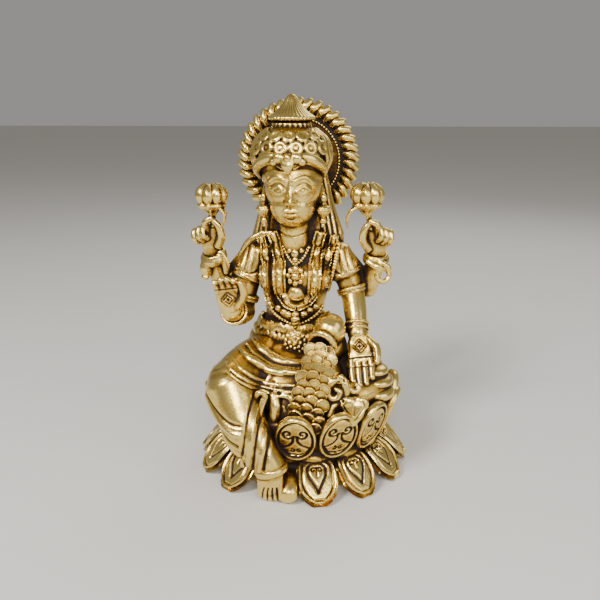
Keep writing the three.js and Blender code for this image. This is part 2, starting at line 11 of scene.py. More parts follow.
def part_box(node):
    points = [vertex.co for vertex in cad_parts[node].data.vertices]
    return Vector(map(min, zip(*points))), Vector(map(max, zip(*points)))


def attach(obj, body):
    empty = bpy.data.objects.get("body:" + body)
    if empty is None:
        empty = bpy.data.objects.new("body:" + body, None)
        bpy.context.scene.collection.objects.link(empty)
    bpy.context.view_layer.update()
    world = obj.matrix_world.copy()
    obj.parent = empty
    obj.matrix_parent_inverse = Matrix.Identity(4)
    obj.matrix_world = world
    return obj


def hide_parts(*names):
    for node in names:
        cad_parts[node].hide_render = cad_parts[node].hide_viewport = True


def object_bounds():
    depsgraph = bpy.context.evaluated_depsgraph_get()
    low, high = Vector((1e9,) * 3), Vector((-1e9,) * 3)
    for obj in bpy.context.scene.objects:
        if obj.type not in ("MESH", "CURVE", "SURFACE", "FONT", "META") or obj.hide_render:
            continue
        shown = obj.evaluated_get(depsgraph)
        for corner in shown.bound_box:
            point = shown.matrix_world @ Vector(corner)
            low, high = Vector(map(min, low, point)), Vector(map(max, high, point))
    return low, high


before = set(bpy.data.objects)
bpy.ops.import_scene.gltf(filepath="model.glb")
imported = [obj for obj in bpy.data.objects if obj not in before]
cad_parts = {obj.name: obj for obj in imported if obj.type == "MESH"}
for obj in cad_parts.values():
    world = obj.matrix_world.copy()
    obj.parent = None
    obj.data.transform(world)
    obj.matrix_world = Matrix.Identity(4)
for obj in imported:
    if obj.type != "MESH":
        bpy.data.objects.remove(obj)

bl_info = {
    "name": "Cast Brass Lakshmi on a Lotus",
    "version": (1, 0, 0),
    "blender": (4, 5, 0),
    "location": "View3D > Sidebar > Idol",
    "description": "Models the carved surface and the aged finish of a small seated brass figure",
    "category": "Add Mesh",
}

# The frame: one casting, 76 mm tall. Its box gives the size of everything below.
NODE = "lakshmi_casting"
FRAME_LOW, FRAME_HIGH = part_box(NODE)
CAD_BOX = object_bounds()
IDOL_HEIGHT = 76.0
MM = (FRAME_HIGH.z - FRAME_LOW.z) / IDOL_HEIGHT

# The figure's own millimetres: x from her axis, y from the axis of the lotus, z above the seat.
AXIS_SHIFT = -2.0
SEAT = 16.0
ORIGIN = np.array([AXIS_SHIFT, 0.0, SEAT])
BOX_LOW, BOX_HIGH = (np.array(corner) / MM - ORIGIN for corner in CAD_BOX)
FRONT = np.array([0.0, -1.0, 0.0])
RIGHT = np.array([1.0, 0.0, 0.0])
UP = np.array([0.0, 0.0, 1.0])
FROM_FRONT = (RIGHT, UP, FRONT)


# Sizes and colours that a user would change

def linear(text):
    """A colour of the shaders' linear scale from an sRGB hex value."""
    parts = [int(text[k:k + 2], 16) / 255 for k in (0, 2, 4)]
    return tuple(c / 12.92 if c <= 0.04045 else ((c + 0.055) / 1.055) ** 2.4 for c in parts) + (1.0,)


def length(name, description, default):
    """A property that holds a length, its default given in millimetres."""
    return FloatProperty(name=name, description=description, default=default * MM, unit="LENGTH")


def colour(name, description, text):
    """A property that holds a colour, its default given as an sRGB hex value."""
    return FloatVectorProperty(
        name=name, description=description, subtype="COLOR", size=4, default=linear(text), min=0, max=1,
    )


class IdolSizes(bpy.types.PropertyGroup):
    """The sizes and counts of the lotus, the halo and the coins"""

    petals: IntProperty(name="Petals", description="Petals in each ring of the lotus", default=14, min=8,
                        subtype="UNSIGNED")
    waist_radius: length("Waist radius", "Narrowest radius of the lotus", 15.3)
    waist_height: length("Waist height", "Height of the lotus's waist above the ground", 7.0)
    tip_radius: length("Petal reach", "Radius that the drooping petals reach", 22.4)
    petal_width: length("Petal width", "Width of a drooping petal", 7.4)
    petal_thickness: length("Petal thickness", "Thickness of a drooping petal", 1.3)
    leaf_length: length("Leaf length", "Length of an upright oval leaf", 11.3)
    leaf_width: length("Leaf width", "Width of an upright oval leaf", 8.0)
    leaf_thickness: length("Leaf thickness", "Thickness of an upright oval leaf", 1.2)
    leaf_lean: FloatProperty(
        name="Leaf lean", description="Angle of the oval leaves from the vertical",
        default=math.radians(20.5), unit="ROTATION",
    )
    halo_radius: length("Halo radius", "Radius to the tips of the twisted rim", 12.9)
    halo_lobes: IntProperty(name="Halo lobes", description="Turns of the halo's rope rim", default=38, min=12,
                            subtype="UNSIGNED")
    halo_beads: IntProperty(name="Halo beads", description="Beads inside the halo's rim", default=84, min=12,
                            subtype="UNSIGNED")
    coin_rows: IntProperty(name="Coin rows", description="Rows of coins in the stream", default=11, min=3,
                           subtype="UNSIGNED")


class IdolFinish(bpy.types.PropertyGroup):
    """The colours, the grain and the stains of the brass"""

    polished: colour("Polished", "Brass rubbed bright on the raised parts", "f4d67a")
    brass: colour("Brass", "Open surfaces of the cast brass", "c6a042")
    # Toned and patina also serve as painted shade, laid on faces turned down and in the lee of whole forms.
    toned: colour("Toned", "Brass darkened at the edge of the recesses", "5f4322")
    patina: colour("Patina", "Dark patina left in the recesses", "22120d")
    grain: length("Casting grain", "Size of the casting's fine grain", 0.42)
    stain: length("Stain size", "Size of the uneven toning", 3.0)


def sizes():
    """The sizes that the panel shows."""
    return bpy.context.scene.idol_sizes


def mm(value):
    """A length property in the figure's millimetres."""
    return value / MM


# Lines and meshes

def smooth_line(points, shares):
    """Points at shares from 0 to 1 of a smooth line through the given points."""
    points = np.asarray(points, float)
    spans = len(points) - 1
    padded = np.vstack([2 * points[0] - points[1], points, 2 * points[-1] - points[-2]])
    place = np.clip(np.asarray(shares, float), 0, 1) * spans
    low = np.minimum(place.astype(int), spans - 1)
    f = (place - low)[:, None]
    a, b, c, d = (padded[low + k] for k in range(4))
    return 0.5 * (2 * b + (c - a) * f + (2 * a - 5 * b + 4 * c - d) * f ** 2
                  + (3 * b - a - 3 * c + d) * f ** 3)


def spread(values, shares):
    """Values of an evenly spaced list at shares from 0 to 1."""
    values = np.atleast_1d(np.asarray(values, float))
    return np.interp(shares, np.linspace(0, 1, len(values)), values)


def unit(vector):
    """A vector of length one."""
    vector = np.asarray(vector, float)
    return vector / np.linalg.norm(vector)


def between(value, low, high):
    """0 below low, 1 above high and smooth between them."""
    share = np.clip((value - low) / (high - low), 0, 1)
    return share * share * (3 - 2 * share)


def polar(angle, radius, height):
    """A point on the lotus, at an angle from the front towards +X and a height above the ground."""
    return np.array([radius * math.sin(angle), -radius * math.cos(angle), height]) - ORIGIN


def shape(name, spots, faces):
    """A new object of points in the figure's millimetres."""
    mesh = bpy.data.meshes.new(name)
    mesh.from_pydata(((np.asarray(spots) + ORIGIN) * MM).tolist(), [], faces)
    mesh.update()
    piece = bpy.data.objects.new(name, mesh)
    bpy.context.collection.objects.link(piece)
    return piece


def ring_faces(rings, sides, closed=False):
    """Quads of a tube's rings, facing out where the sides run clockwise seen from the tube's end."""
    faces = []
    for i in range(rings if closed else rings - 1):
        low, high = i * sides, ((i + 1) % rings) * sides
        for j in range(sides):
            k = (j + 1) % sides
            faces.append((low + j, high + j, high + k, low + k))
    return faces


def limb(points, radii, sides=20, flat=1.0, wide=RIGHT, tip=0.7, rings=None):
    """A round-ended tube along a smooth line, its width and depth changing on the way."""
    points = np.asarray(points, float)
    rings = rings or 7 * (len(points) - 1)
    shares = np.linspace(0, 1, rings + 1)
    line = smooth_line(points, shares)
    ahead = np.gradient(line, axis=0)
    ahead /= np.linalg.norm(ahead, axis=1)[:, None]
    across = wide - (ahead @ wide)[:, None] * ahead
    across /= np.linalg.norm(across, axis=1)[:, None]
    out = np.cross(across, ahead)
    width = spread(radii, shares)
    turns = np.radians([67.5, 45.0, 22.5])
    order = [0] * 3 + list(range(rings + 1)) + [rings] * 3
    swell = np.concatenate([np.cos(turns), np.ones(rings + 1), np.cos(turns[::-1])])
    push = np.concatenate([-np.sin(turns), np.zeros(rings + 1), np.sin(turns[::-1])])
    centres = line[order] + (push * tip * width[order])[:, None] * ahead[order]
    width = width[order] * swell
    depth = width * spread(flat, shares)[order]
    angle = np.linspace(0, 2 * math.pi, sides, endpoint=False)
    spots = (centres[:, None] + (width[:, None] * np.cos(angle))[..., None] * across[order][:, None]
             + (depth[:, None] * np.sin(angle))[..., None] * out[order][:, None]).reshape(-1, 3)
    ends = [line[0] - ahead[0] * tip * spread(radii, [0])[0],
            line[-1] + ahead[-1] * tip * spread(radii, [1])[0]]
    first, last = len(spots), len(spots) + 1
    top = len(spots) - sides
    faces = ring_faces(len(order), sides)
    faces += [(first, j, (j + 1) % sides) for j in range(sides)]
    faces += [(last, top + (j + 1) % sides, top + j) for j in range(sides)]
    return shape("limb", np.vstack([spots, ends]), faces)


def turned(profile, centre=(0, 0, 0), axis=UP, steps=48, flutes=0, depth=0.0):
    """A turned solid from pairs of radius and height, the first and last on its axis, perhaps fluted."""
    axis = unit(axis)
    side = unit(np.cross(axis, RIGHT if abs(axis[0]) < 0.9 else UP))
    other = np.cross(axis, side)
    inner = np.asarray(profile, float)[1:-1]
    angle = np.linspace(0, 2 * math.pi, steps, endpoint=False)
    ripple = 1 + depth * np.cos(flutes * angle)
    radius = inner[:, 0][:, None] * ripple
    spots = (np.asarray(centre, float) + (radius * np.cos(angle))[..., None] * side
             - (radius * np.sin(angle))[..., None] * other + inner[:, 1][:, None, None] * axis).reshape(-1, 3)
    ends = [np.asarray(centre, float) + axis * profile[0][1],
            np.asarray(centre, float) + axis * profile[-1][1]]
    first, last, top = len(spots), len(spots) + 1, len(spots) - steps
    faces = ring_faces(len(inner), steps)
    faces += [(first, j, (j + 1) % steps) for j in range(steps)]
    faces += [(last, top + (j + 1) % steps, top + j) for j in range(steps)]
    return shape("turned", np.vstack([spots, ends]), faces)


def placed(spot):
    """A spot of the figure's millimetres in the scene's metres."""
    return tuple((np.asarray(spot, float) + ORIGIN) * MM)


def ball(centre, radii, axis=UP, segments=24):
    """An ellipsoid whose third radius lies along the axis."""
    turn = Vector(unit(axis)).to_track_quat("Z", "Y").to_euler()
    bpy.ops.mesh.primitive_uv_sphere_add(
        segments=segments, ring_count=segments * 2 // 3, radius=1, location=placed(centre), rotation=turn,
        scale=tuple(np.asarray(radii, float) * MM),
    )
    return bpy.context.object


def hoop(centre, axis, radius, thickness, squash=1.0, segments=40):
    """A ring round an axis, its section squashed along that axis."""
    turn = Vector(unit(axis)).to_track_quat("Z", "Y").to_euler()
    bpy.ops.mesh.primitive_torus_add(
        location=placed(centre), rotation=turn, major_segments=segments, minor_segments=12,
        major_radius=radius * MM, minor_radius=thickness * MM,
    )
    bpy.context.object.scale.z = squash
    return bpy.context.object


# One bead of few faces, which every string of beads repeats
BEAD = bmesh.new()
bmesh.ops.create_uvsphere(BEAD, u_segments=7, v_segments=5, radius=1.0)
bmesh.ops.triangulate(BEAD, faces=BEAD.faces)
BEAD_SPOTS = np.array([v.co for v in BEAD.verts])
BEAD_FACES = np.array([[v.index for v in f.verts] for f in BEAD.faces])
BEAD.free()


def beads(spots, radius):
    """Small round beads, one at each spot. The radius is one number, or one for each bead."""
    spots = np.asarray(spots, float)
    radius = np.broadcast_to(np.asarray(radius, float), (len(spots),))
    points = (spots[:, None] + radius[:, None, None] * BEAD_SPOTS).reshape(-1, 3)
    steps = len(BEAD_SPOTS) * np.arange(len(spots))
    faces = (steps[:, None, None] + BEAD_FACES).reshape(-1, 3).tolist()
    return shape("beads", points, faces)


def chosen(*pieces):
    """Selects just these pieces and makes the first one active."""
    bpy.ops.object.select_all(action="DESELECT")
    for piece in pieces:
        piece.select_set(True)
    bpy.context.view_layer.objects.active = pieces[0]


def joined(name, pieces):
    """One object from several, with its place in its mesh."""
    chosen(*pieces)
    bpy.ops.object.transform_apply(location=True, rotation=True, scale=True)
    if len(pieces) > 1:
        bpy.ops.object.join()
    piece = bpy.context.view_layer.objects.active
    piece.name = piece.data.name = name
    return piece


def applied(piece, kind, **settings):
    """Adds a modifier to a piece and applies it."""
    chosen(piece)
    bpy.ops.object.modifier_add(type=kind)
    modifier = piece.modifiers[-1]
    for key, value in settings.items():
        setattr(modifier, key, value)
    bpy.ops.object.modifier_apply(modifier=modifier.name)
    return piece


def fused(name, pieces, grain=0.25, rounds=4):
    """Melts pieces into one skin with a grain in millimetres, its seams rounded as in a casting."""
    piece = joined(name, pieces)
    applied(piece, "REMESH", mode="VOXEL", voxel_size=grain * MM)
    if rounds:
        applied(piece, "SMOOTH", factor=0.5, iterations=rounds)
    return piece


# Carving: a surface is raised or sunk along lines drawn on it as seen from one side

def surface(piece):
    """A piece's points and normals in the figure's millimetres."""
    mesh = piece.data
    spots = np.empty(len(mesh.vertices) * 3)
    mesh.vertices.foreach_get("co", spots)
    normals = np.empty(len(mesh.vertices) * 3)
    mesh.vertex_normals.foreach_get("vector", normals)
    return spots.reshape(-1, 3) / MM - ORIGIN, normals.reshape(-1, 3)


def reset(piece, spots):
    """Moves a piece's points to these places."""
    piece.data.vertices.foreach_set("co", ((spots + ORIGIN) * MM).ravel())
    piece.data.update()


def held_above(piece, lowest, front=-np.inf):
    """Keeps a piece's points above a height over the ground, and behind a place in front."""
    spots, _ = surface(piece)
    reset(piece, np.maximum(spots, (-np.inf, front, lowest - SEAT)))


def line_distance(spots, line):
    """Distance from each spot to a line of points."""
    best = np.full(len(spots), np.inf)
    for start, end in zip(line[:-1], line[1:]):
        step = end - start
        share = np.clip((spots - start) @ step / max(step @ step, 1e-9), 0, 1)
        best = np.minimum(best, np.linalg.norm(spots - start - share[:, None] * step, axis=1))
    return best


def relief(spots, strokes):
    """Heights that strokes give to flat spots. A stroke is its points, half width and height."""
    heights = np.zeros(len(spots))
    for points, width, height in strokes:
        points = np.asarray(points, float)
        line = smooth_line(points, np.linspace(0, 1, 6 * (len(points) - 1) + 1))
        near = np.all((spots > line.min(0) - width) & (spots < line.max(0) + width), axis=1)
        if near.any():
            share = np.clip(line_distance(spots[near], line) / width, 0, 1)
            heights[near] += height * (1 - share ** 2) ** 2
    return heights


def view_from(azimuth):
    """Right, up and towards the viewer for someone who looks at the figure from an azimuth in degrees."""
    turn = math.radians(azimuth)
    right = np.array([math.cos(turn), math.sin(turn), 0.0])
    return right, UP, np.cross(right, UP)


def inked(piece, depths):
    """Marks how deep each point is cut, from 0 to 1, so that the patina stays in it."""
    attribute = piece.data.attributes.new("cut", "FLOAT", "POINT")
    attribute.data.foreach_set("value", depths.astype(np.float32))


def carved(piece, strokes, view=FROM_FRONT, centre=(0, 0, 0), within=None, along=None):
    """Carves strokes into a piece, seen in a view. Within limits the depth towards the viewer."""
    right, up, toward = (np.asarray(v, float) for v in view)
    spots, normals = surface(piece)
    local = spots - np.asarray(centre, float)
    flat = np.stack([local @ right, local @ up], axis=1)
    heights = relief(flat, strokes) * between(normals @ toward, 0.0, 0.5)
    if within:
        depth = local @ toward
        heights[(depth < within[0]) | (depth > within[1])] = 0
    reset(piece, spots + heights[:, None] * (normals if along is None else np.asarray(along, float)))
    return piece


def swollen(piece, bumps, toward=FRONT, right=RIGHT, up=UP, centre=(0, 0, 0)):
    """Pushes soft bumps out of a piece: each is its place, its two widths and its height."""
    spots, normals = surface(piece)
    local = spots - np.asarray(centre, float)
    u, v = local @ right, local @ up
    facing = between(normals @ toward, 0.0, 0.4)
    for x, z, wide, tall, height in bumps:
        spots += (height * facing * np.exp(-((u - x) / wide) ** 2 - ((v - z) / tall) ** 2))[:, None] * toward
    reset(piece, spots)
    return piece


def tree_of(piece):
    """A search tree of a piece's faces, for laying other pieces on it."""
    mesh = piece.data
    return BVHTree.FromPolygons([v.co[:] for v in mesh.vertices], [p.vertices[:] for p in mesh.polygons])


def laid_on(tree, x, z, view=FROM_FRONT, sink=0.0):
    """The point of a body that shows at x, z in a view, or None where it doesn't reach."""
    right, up, toward = view
    start = np.asarray(right) * x + np.asarray(up) * z + np.asarray(toward) * 60
    hit = tree.ray_cast(Vector(placed(start)), Vector(-np.asarray(toward, float)))
    if hit[0] is None:
        return None
    return np.array(hit[0]) / MM - ORIGIN - np.asarray(toward) * sink


def outward(piece):
    """Merges doubles and makes every face point out."""
    chosen(piece)
    bpy.ops.object.mode_set(mode="EDIT")
    bpy.ops.mesh.select_all(action="SELECT")
    bpy.ops.mesh.remove_doubles(threshold=0.01 * MM)
    bpy.ops.mesh.normals_make_consistent(inside=False)
    bpy.ops.object.mode_set(mode="OBJECT")
    return piece


CAMERA_SIDE = unit((0.08, -0.96, 0.28))


def draped(tree, points, sink=0.0, count=24):
    """A smooth line let down on a body from the camera's side, so that it stays where it is seen."""
    line = smooth_line(points, np.linspace(0, 1, count))
    laid = []
    for spot in line:
        hit = tree.ray_cast(Vector(placed(spot + CAMERA_SIDE * 40)), Vector(-CAMERA_SIDE))
        place = spot if hit[0] is None else np.array(hit[0]) / MM - ORIGIN
        laid.append(place - CAMERA_SIDE * sink)
    laid = np.array(laid)
    for _ in range(2):
        laid[1:-1] = (laid[:-2] + 2 * laid[1:-1] + laid[2:]) / 4
    return laid


def ribbon(name, tree, points, half_width, raised, step=0.17, across=13, foot=0.9, view=FROM_FRONT):
    """A band laid over a body along a line drawn in a view.

    Raised gives its height from the distance along the band and the place across it, from -1 to 1.
    """
    points = np.asarray(points, float)
    rough = smooth_line(points, np.linspace(0, 1, 200))
    total = np.linalg.norm(np.diff(rough, axis=0), axis=1).sum()
    count = max(int(total / step), 4)
    line = smooth_line(points, np.linspace(0, 1, count))
    ahead = np.gradient(line, axis=0)
    ahead /= np.linalg.norm(ahead, axis=1)[:, None]
    side = np.stack([ahead[:, 1], -ahead[:, 0]], axis=1)
    widths = spread(half_width, np.linspace(0, 1, count))
    places = np.linspace(-1, 1, across)
    grid = np.zeros((count, across, 3))
    last = None
    for i in range(count):
        for j, s in enumerate(places):
            u, v = line[i] + side[i] * widths[i] * s
            found = laid_on(tree, u, v, view)
            if found is None:
                depth = last if last is not None else 0.0
                found = np.asarray(view[0]) * u + np.asarray(view[1]) * v + np.asarray(view[2]) * depth
            last = float(found @ np.asarray(view[2]))
            grid[i, j] = found
    toward = np.asarray(view[2], float)
    depth = grid @ toward
    eased = depth.copy()
    for _ in range(6):
        padded = np.pad(eased, 1, mode="edge")
        eased = (padded[:-2, 1:-1] + padded[2:, 1:-1] + padded[1:-1, :-2] + padded[1:-1, 2:] + 2 * eased) / 6
    grid += (np.maximum(eased, depth - 0.3) - depth)[..., None] * toward
    normal = np.cross(np.gradient(grid, axis=1), np.gradient(grid, axis=0))
    normal /= np.maximum(np.linalg.norm(normal, axis=2), 1e-9)[..., None]
    normal *= np.sign((normal @ toward))[..., None]
    lengths = np.linspace(0, total, count)
    heights = np.array([[raised(distance, place) for place in places] for distance in lengths])
    top = grid + normal * heights[..., None]
    low = grid - normal * foot
    loop = np.concatenate([top, low[:, ::-1]], axis=1)
    sides = 2 * across
    spots = loop.reshape(-1, 3)
    faces = ring_faces(count, sides)
    faces.append(tuple(range(sides)))
    faces.append(tuple(range(len(spots) - 1, len(spots) - sides - 1, -1)))
    return outward(shape(name, spots, faces))


PIECES = []  # every finished piece, for the ageing


def kept(piece, angle=60, toning=0.0):
    """Finishes a piece: smooth shading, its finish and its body. Toning adds patina all over it."""
    spots, _ = surface(piece)
    reset(piece, np.clip(spots, BOX_LOW, BOX_HIGH))
    piece["toning"] = toning
    chosen(piece)
    bpy.ops.object.shade_smooth_by_angle(angle=math.radians(angle))
    piece.data.materials.clear()
    piece.data.materials.append(aged_and_shaded_brass())
    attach(piece, "root")
    PIECES.append(piece)
    return piece


# Finishes

def add_node(tree, kind, inputs=(), **settings):
    """A node with its settings, its inputs given as values or as sockets to link from."""
    node = tree.nodes.new(kind)
    for key, value in settings.items():
        setattr(node, key, value)
    for key, value in dict(inputs).items():
        if isinstance(value, bpy.types.NodeSocket):
            tree.links.new(value, node.inputs[key])
        else:
            node.inputs[key].default_value = value
    return node


def new_material(name):
    """An empty node material and its tree."""
    material = bpy.data.materials.new(name)
    material.use_nodes = True
    material.node_tree.nodes.clear()
    return material, material.node_tree


def ramp(tree, factor, stops):
    """A colour that changes with a factor, from pairs of place and colour."""
    node = add_node(tree, "ShaderNodeValToRGB", {"Fac": factor})
    node.color_ramp.interpolation = "EASE"
    while len(node.color_ramp.elements) < len(stops):
        node.color_ramp.elements.new(0.5)
    for element, (place, value) in zip(node.color_ramp.elements, stops):
        element.position = place
        element.color = value
    return node.outputs["Color"]


def aged_and_shaded_brass():
    """Cast brass, rubbed bright where hands and cloths reach and dark brown where they don't.

    The rubbed parts give sharp pale glints, and the patina in the recesses is almost matt, so that
    the carving reads at a glance. The same dark browns also paint shade on faces turned down and in
    the lee of whole forms. The casting's grain is drawn coarser than it is, so that it shows.
    """
    name = "patinated_and_shaded_cast_brass"
    if name in bpy.data.materials:
        return bpy.data.materials[name]
    finish = bpy.context.scene.idol_finish
    material, tree = new_material(name)
    spot = add_node(tree, "ShaderNodeTexCoord").outputs["Object"]
    # This attribute holds patina in the hollows and also painted shade on faces turned down and in the lee of
    # whole forms.
    patina_and_shade = add_node(tree, "ShaderNodeAttribute", attribute_name="patina_and_shade").outputs["Fac"]
    stain = add_node(tree, "ShaderNodeTexNoise", {
        "Vector": spot, "Scale": 1 / finish.stain, "Detail": 4.0, "Roughness": 0.6,
    }).outputs["Fac"]
    grain = add_node(tree, "ShaderNodeTexNoise", {
        "Vector": spot, "Scale": 1 / finish.grain, "Detail": 3.0, "Roughness": 0.65,
    }).outputs["Fac"]
    uneven = add_node(tree, "ShaderNodeMath", {0: stain, 1: 0.5}, operation="SUBTRACT").outputs[0]
    uneven = add_node(tree, "ShaderNodeMath", {0: uneven, 1: 0.8, 2: patina_and_shade},
                      operation="MULTIPLY_ADD").outputs[0]
    fine = add_node(tree, "ShaderNodeMath", {0: grain, 1: 0.5}, operation="SUBTRACT").outputs[0]
    level = add_node(tree, "ShaderNodeMath", {0: fine, 1: 0.4, 2: uneven},
                     operation="MULTIPLY_ADD").outputs[0]
    tone = ramp(tree, level, [
        (0.10, finish.polished), (0.36, finish.brass), (0.58, finish.toned), (0.78, finish.patina),
    ])
    metal = ramp(tree, level, [(0.60, (1, 1, 1, 1)), (0.82, (0.25, 0.25, 0.25, 1))])
    rough = ramp(tree, level, [
        (0.12, (0.22, 0.22, 0.22, 1)), (0.40, (0.37, 0.37, 0.37, 1)), (0.80, (0.72, 0.72, 0.72, 1)),
    ])
    bump = add_node(tree, "ShaderNodeBump", {"Height": grain, "Strength": 0.6, "Distance": 0.05 * MM})
    shader = add_node(tree, "ShaderNodeBsdfPrincipled", {
        "Base Color": tone, "Metallic": metal, "Roughness": rough, "Normal": bump.outputs[0],
    })
    add_node(tree, "ShaderNodeOutputMaterial", {"Surface": shader.outputs[0]})
    return material


def pale_paper():
    """Matt pale paper under the idol, which gives a soft, even light back."""
    material, tree = new_material("matt_pale_paper")
    shader = add_node(tree, "ShaderNodeBsdfPrincipled", {
        "Base Color": linear("d9d6cf"), "Roughness": 0.85,
    })
    add_node(tree, "ShaderNodeOutputMaterial", {"Surface": shader.outputs[0]})
    return material


# The lotus

def spiral(centre, start, radius, turns, way=1, count=16):
    """Points of a curl that winds inwards from a start angle in degrees."""
    share = np.linspace(0, 1, count)
    angle = math.radians(start) + way * 2 * math.pi * turns * share
    reach = radius * (1 - 0.8 * share)
    return np.stack([centre[0] + reach * np.cos(angle), centre[1] + reach * np.sin(angle)], axis=1)


def mirrored(points):
    """A flat line mirrored from one side of the figure to the other."""
    return np.asarray(points, float) * [-1, 1]


LEAF_CUT = 0.35  # millimetres, the depth of a groove in a leaf that keeps all its patina
PETAL_CUT = 0.4  # the same in a petal
LEAF_FOOT = 17.4  # millimetres, the radius of the circle on which the leaves stand
PETAL_SPAN = 9.3  # millimetres along a petal, on which its lines are drawn


def leaf_motif():
    """Two curls whose stems spread into a bell with a small curl in it, cut into an oval leaf."""
    cut = -0.5
    stem = [(0.45, 0.7), (0.5, -0.1), (1.1, -1.0), (2.1, -1.6), (2.75, -1.9)]
    curl = np.vstack([spiral((1.42, 1.85), 205, 1.2, 1.15)[::-1], stem])
    foot = [(2.6, -2.3), (1.8, -3.4), (0.0, -3.9)]
    strokes = []
    for line in (curl, foot):
        strokes += [(line, 0.34, cut), (mirrored(line), 0.34, cut)]
    for side in (-1, 1):
        strokes.append((spiral((side * 0.7, -2.6), 90, 0.55, side * 0.8), 0.26, cut * 0.8))
    return strokes


def upright_leaf(angle, tilt):
    """An oval leaf with a raised rim, a dark line inside it and the scrolled motif."""
    size = sizes()
    long, wide, thick = mm(size.leaf_length) / 2, mm(size.leaf_width) / 2, mm(size.leaf_thickness)
    bpy.ops.mesh.primitive_grid_add(x_subdivisions=42, y_subdivisions=60, size=2)
    piece = bpy.context.object
    square, _ = surface(piece)
    a, b = (square[:, 0] + ORIGIN[0]) * MM, (square[:, 1] + ORIGIN[1]) * MM
    x, y = a * np.sqrt(1 - b ** 2 / 2), b * np.sqrt(1 - a ** 2 / 2)
    edge = 1 - np.hypot(x, y)
    flat = np.stack([x * wide, y * long], axis=1)
    near_edge = edge * wide * 1.15
    heights = relief(flat, leaf_motif()) * between(near_edge, 0.7, 1.0)
    depths = np.clip(-heights / LEAF_CUT, 0, 1)
    heights += 0.16 * np.exp(-((near_edge - 0.35) / 0.3) ** 2)
    heights -= 0.5 * np.exp(-((near_edge - 0.82) / 0.2) ** 2)
    heights += 0.3 * (1 - (x ** 2 + y ** 2)) - 0.3 * np.exp(-(near_edge / 0.14) ** 2)
    lean = size.leaf_lean + tilt
    foot = polar(angle, LEAF_FOOT, mm(size.waist_height) + 0.2)
    across = unit(polar(angle + math.pi / 2, 1, 0) + ORIGIN)
    up = polar(angle, math.sin(lean), math.cos(lean)) + ORIGIN
    out = np.cross(across, up)
    spots = (foot + (flat[:, :1]) * across + (flat[:, 1:] + long) * up
             + (heights[:, None] - 0.3) * out)
    reset(piece, spots)
    inked(piece, depths)
    chosen(piece)
    bpy.ops.object.transform_apply(location=True, rotation=True, scale=True)
    bpy.ops.object.mode_set(mode="EDIT")
    bpy.ops.mesh.select_all(action="SELECT")
    bpy.ops.mesh.region_to_loop()
    push = tuple(-out * (thick - 0.4) * 0.5 * MM)
    for _ in range(2):
        bpy.ops.mesh.extrude_edges_move(TRANSFORM_OT_translate={"value": push})
    bpy.ops.mesh.edge_face_add()
    bpy.ops.object.mode_set(mode="OBJECT")
    return piece


def drooping_petal(angle, width_share, lift):
    """A tongue-shaped petal with a thick rim, a V line towards its tip and a small curl at its root."""
    size = sizes()
    thick = mm(size.petal_thickness)
    waist = mm(size.waist_height)
    root = mm(size.waist_radius) + 0.3
    reach = mm(size.tip_radius) - root
    half = mm(size.petal_width) / 2 * width_share
    drop = waist - thick - lift
    bpy.ops.mesh.primitive_grid_add(x_subdivisions=32, y_subdivisions=48, size=2)
    piece = bpy.context.object
    square, _ = surface(piece)
    s = (square[:, 0] + ORIGIN[0]) * MM
    t = ((square[:, 1] + ORIGIN[1]) * MM + 1) / 2
    t *= 1.35 - 0.35 * t  # closer rows at the tip
    outline = half * np.sqrt(np.clip(1 - ((t - 0.5) / 0.78) ** 2, 0, 1))
    nose = np.clip(1 - (np.clip(t - 0.60, 0, 1) / 0.402) ** 2.0, 0.004, 1) ** 0.68
    width = outline * nose
    flat = np.stack([s * width, t * PETAL_SPAN], axis=1)
    near_edge = np.minimum((1 - np.abs(s)) * width, (1 - t) * PETAL_SPAN * 0.9 + 0.02)
    inside = between(near_edge, 0.35, 0.7)
    cut = -0.5
    v_line = [(0.0, 7.0), (-0.8, 5.7), (-1.65, 4.2), (-1.75, 2.6), (-1.2, 1.7)]
    strokes = [(v_line, 0.4, cut), (mirrored(v_line), 0.4, cut)]
    curl = spiral((0.62, 2.9), 200, 0.6, 1.0)
    strokes += [(curl, 0.24, -0.35), (mirrored(curl), 0.24, -0.35)]
    strokes.append(([(0, 2.2), (0, 4.4)], 0.25, -0.25))
    heights = relief(flat, strokes) * inside
    depths = np.clip(-heights / PETAL_CUT, 0, 1)
    heights += 0.2 * np.exp(-((near_edge - 0.3) / 0.3) ** 2)
    along = between(t, 0.08, 0.2) * between(1 - t, 0.0, 0.2)
    heights -= 0.42 * np.exp(-((near_edge - 0.82) / 0.2) ** 2) * along
    heights -= 0.2 * np.exp(-(near_edge / 0.12) ** 2)
    turn = np.clip(t, 0, 1) * math.pi / 2
    height = thick / 2 + lift + drop * np.cos(turn) ** 1.25
    slope = np.arctan2(drop * 1.25 * np.cos(turn) ** 0.25 * np.sin(turn) * math.pi / 2, reach)
    radius = root + reach * t
    rise = thick / 2 + heights - 0.32
    spots = np.stack([
        (radius + rise * np.sin(slope)) * math.sin(angle) - flat[:, 0] * math.cos(angle),
        -(radius + rise * np.sin(slope)) * math.cos(angle) - flat[:, 0] * math.sin(angle),
        height + rise * np.cos(slope),
    ], axis=1)
    reset(piece, spots - ORIGIN)
    inked(piece, depths)
    applied(piece, "SOLIDIFY", thickness=(thick - 0.1) * MM, offset=-1.0)
    held_above(piece, 0.02)
    return piece


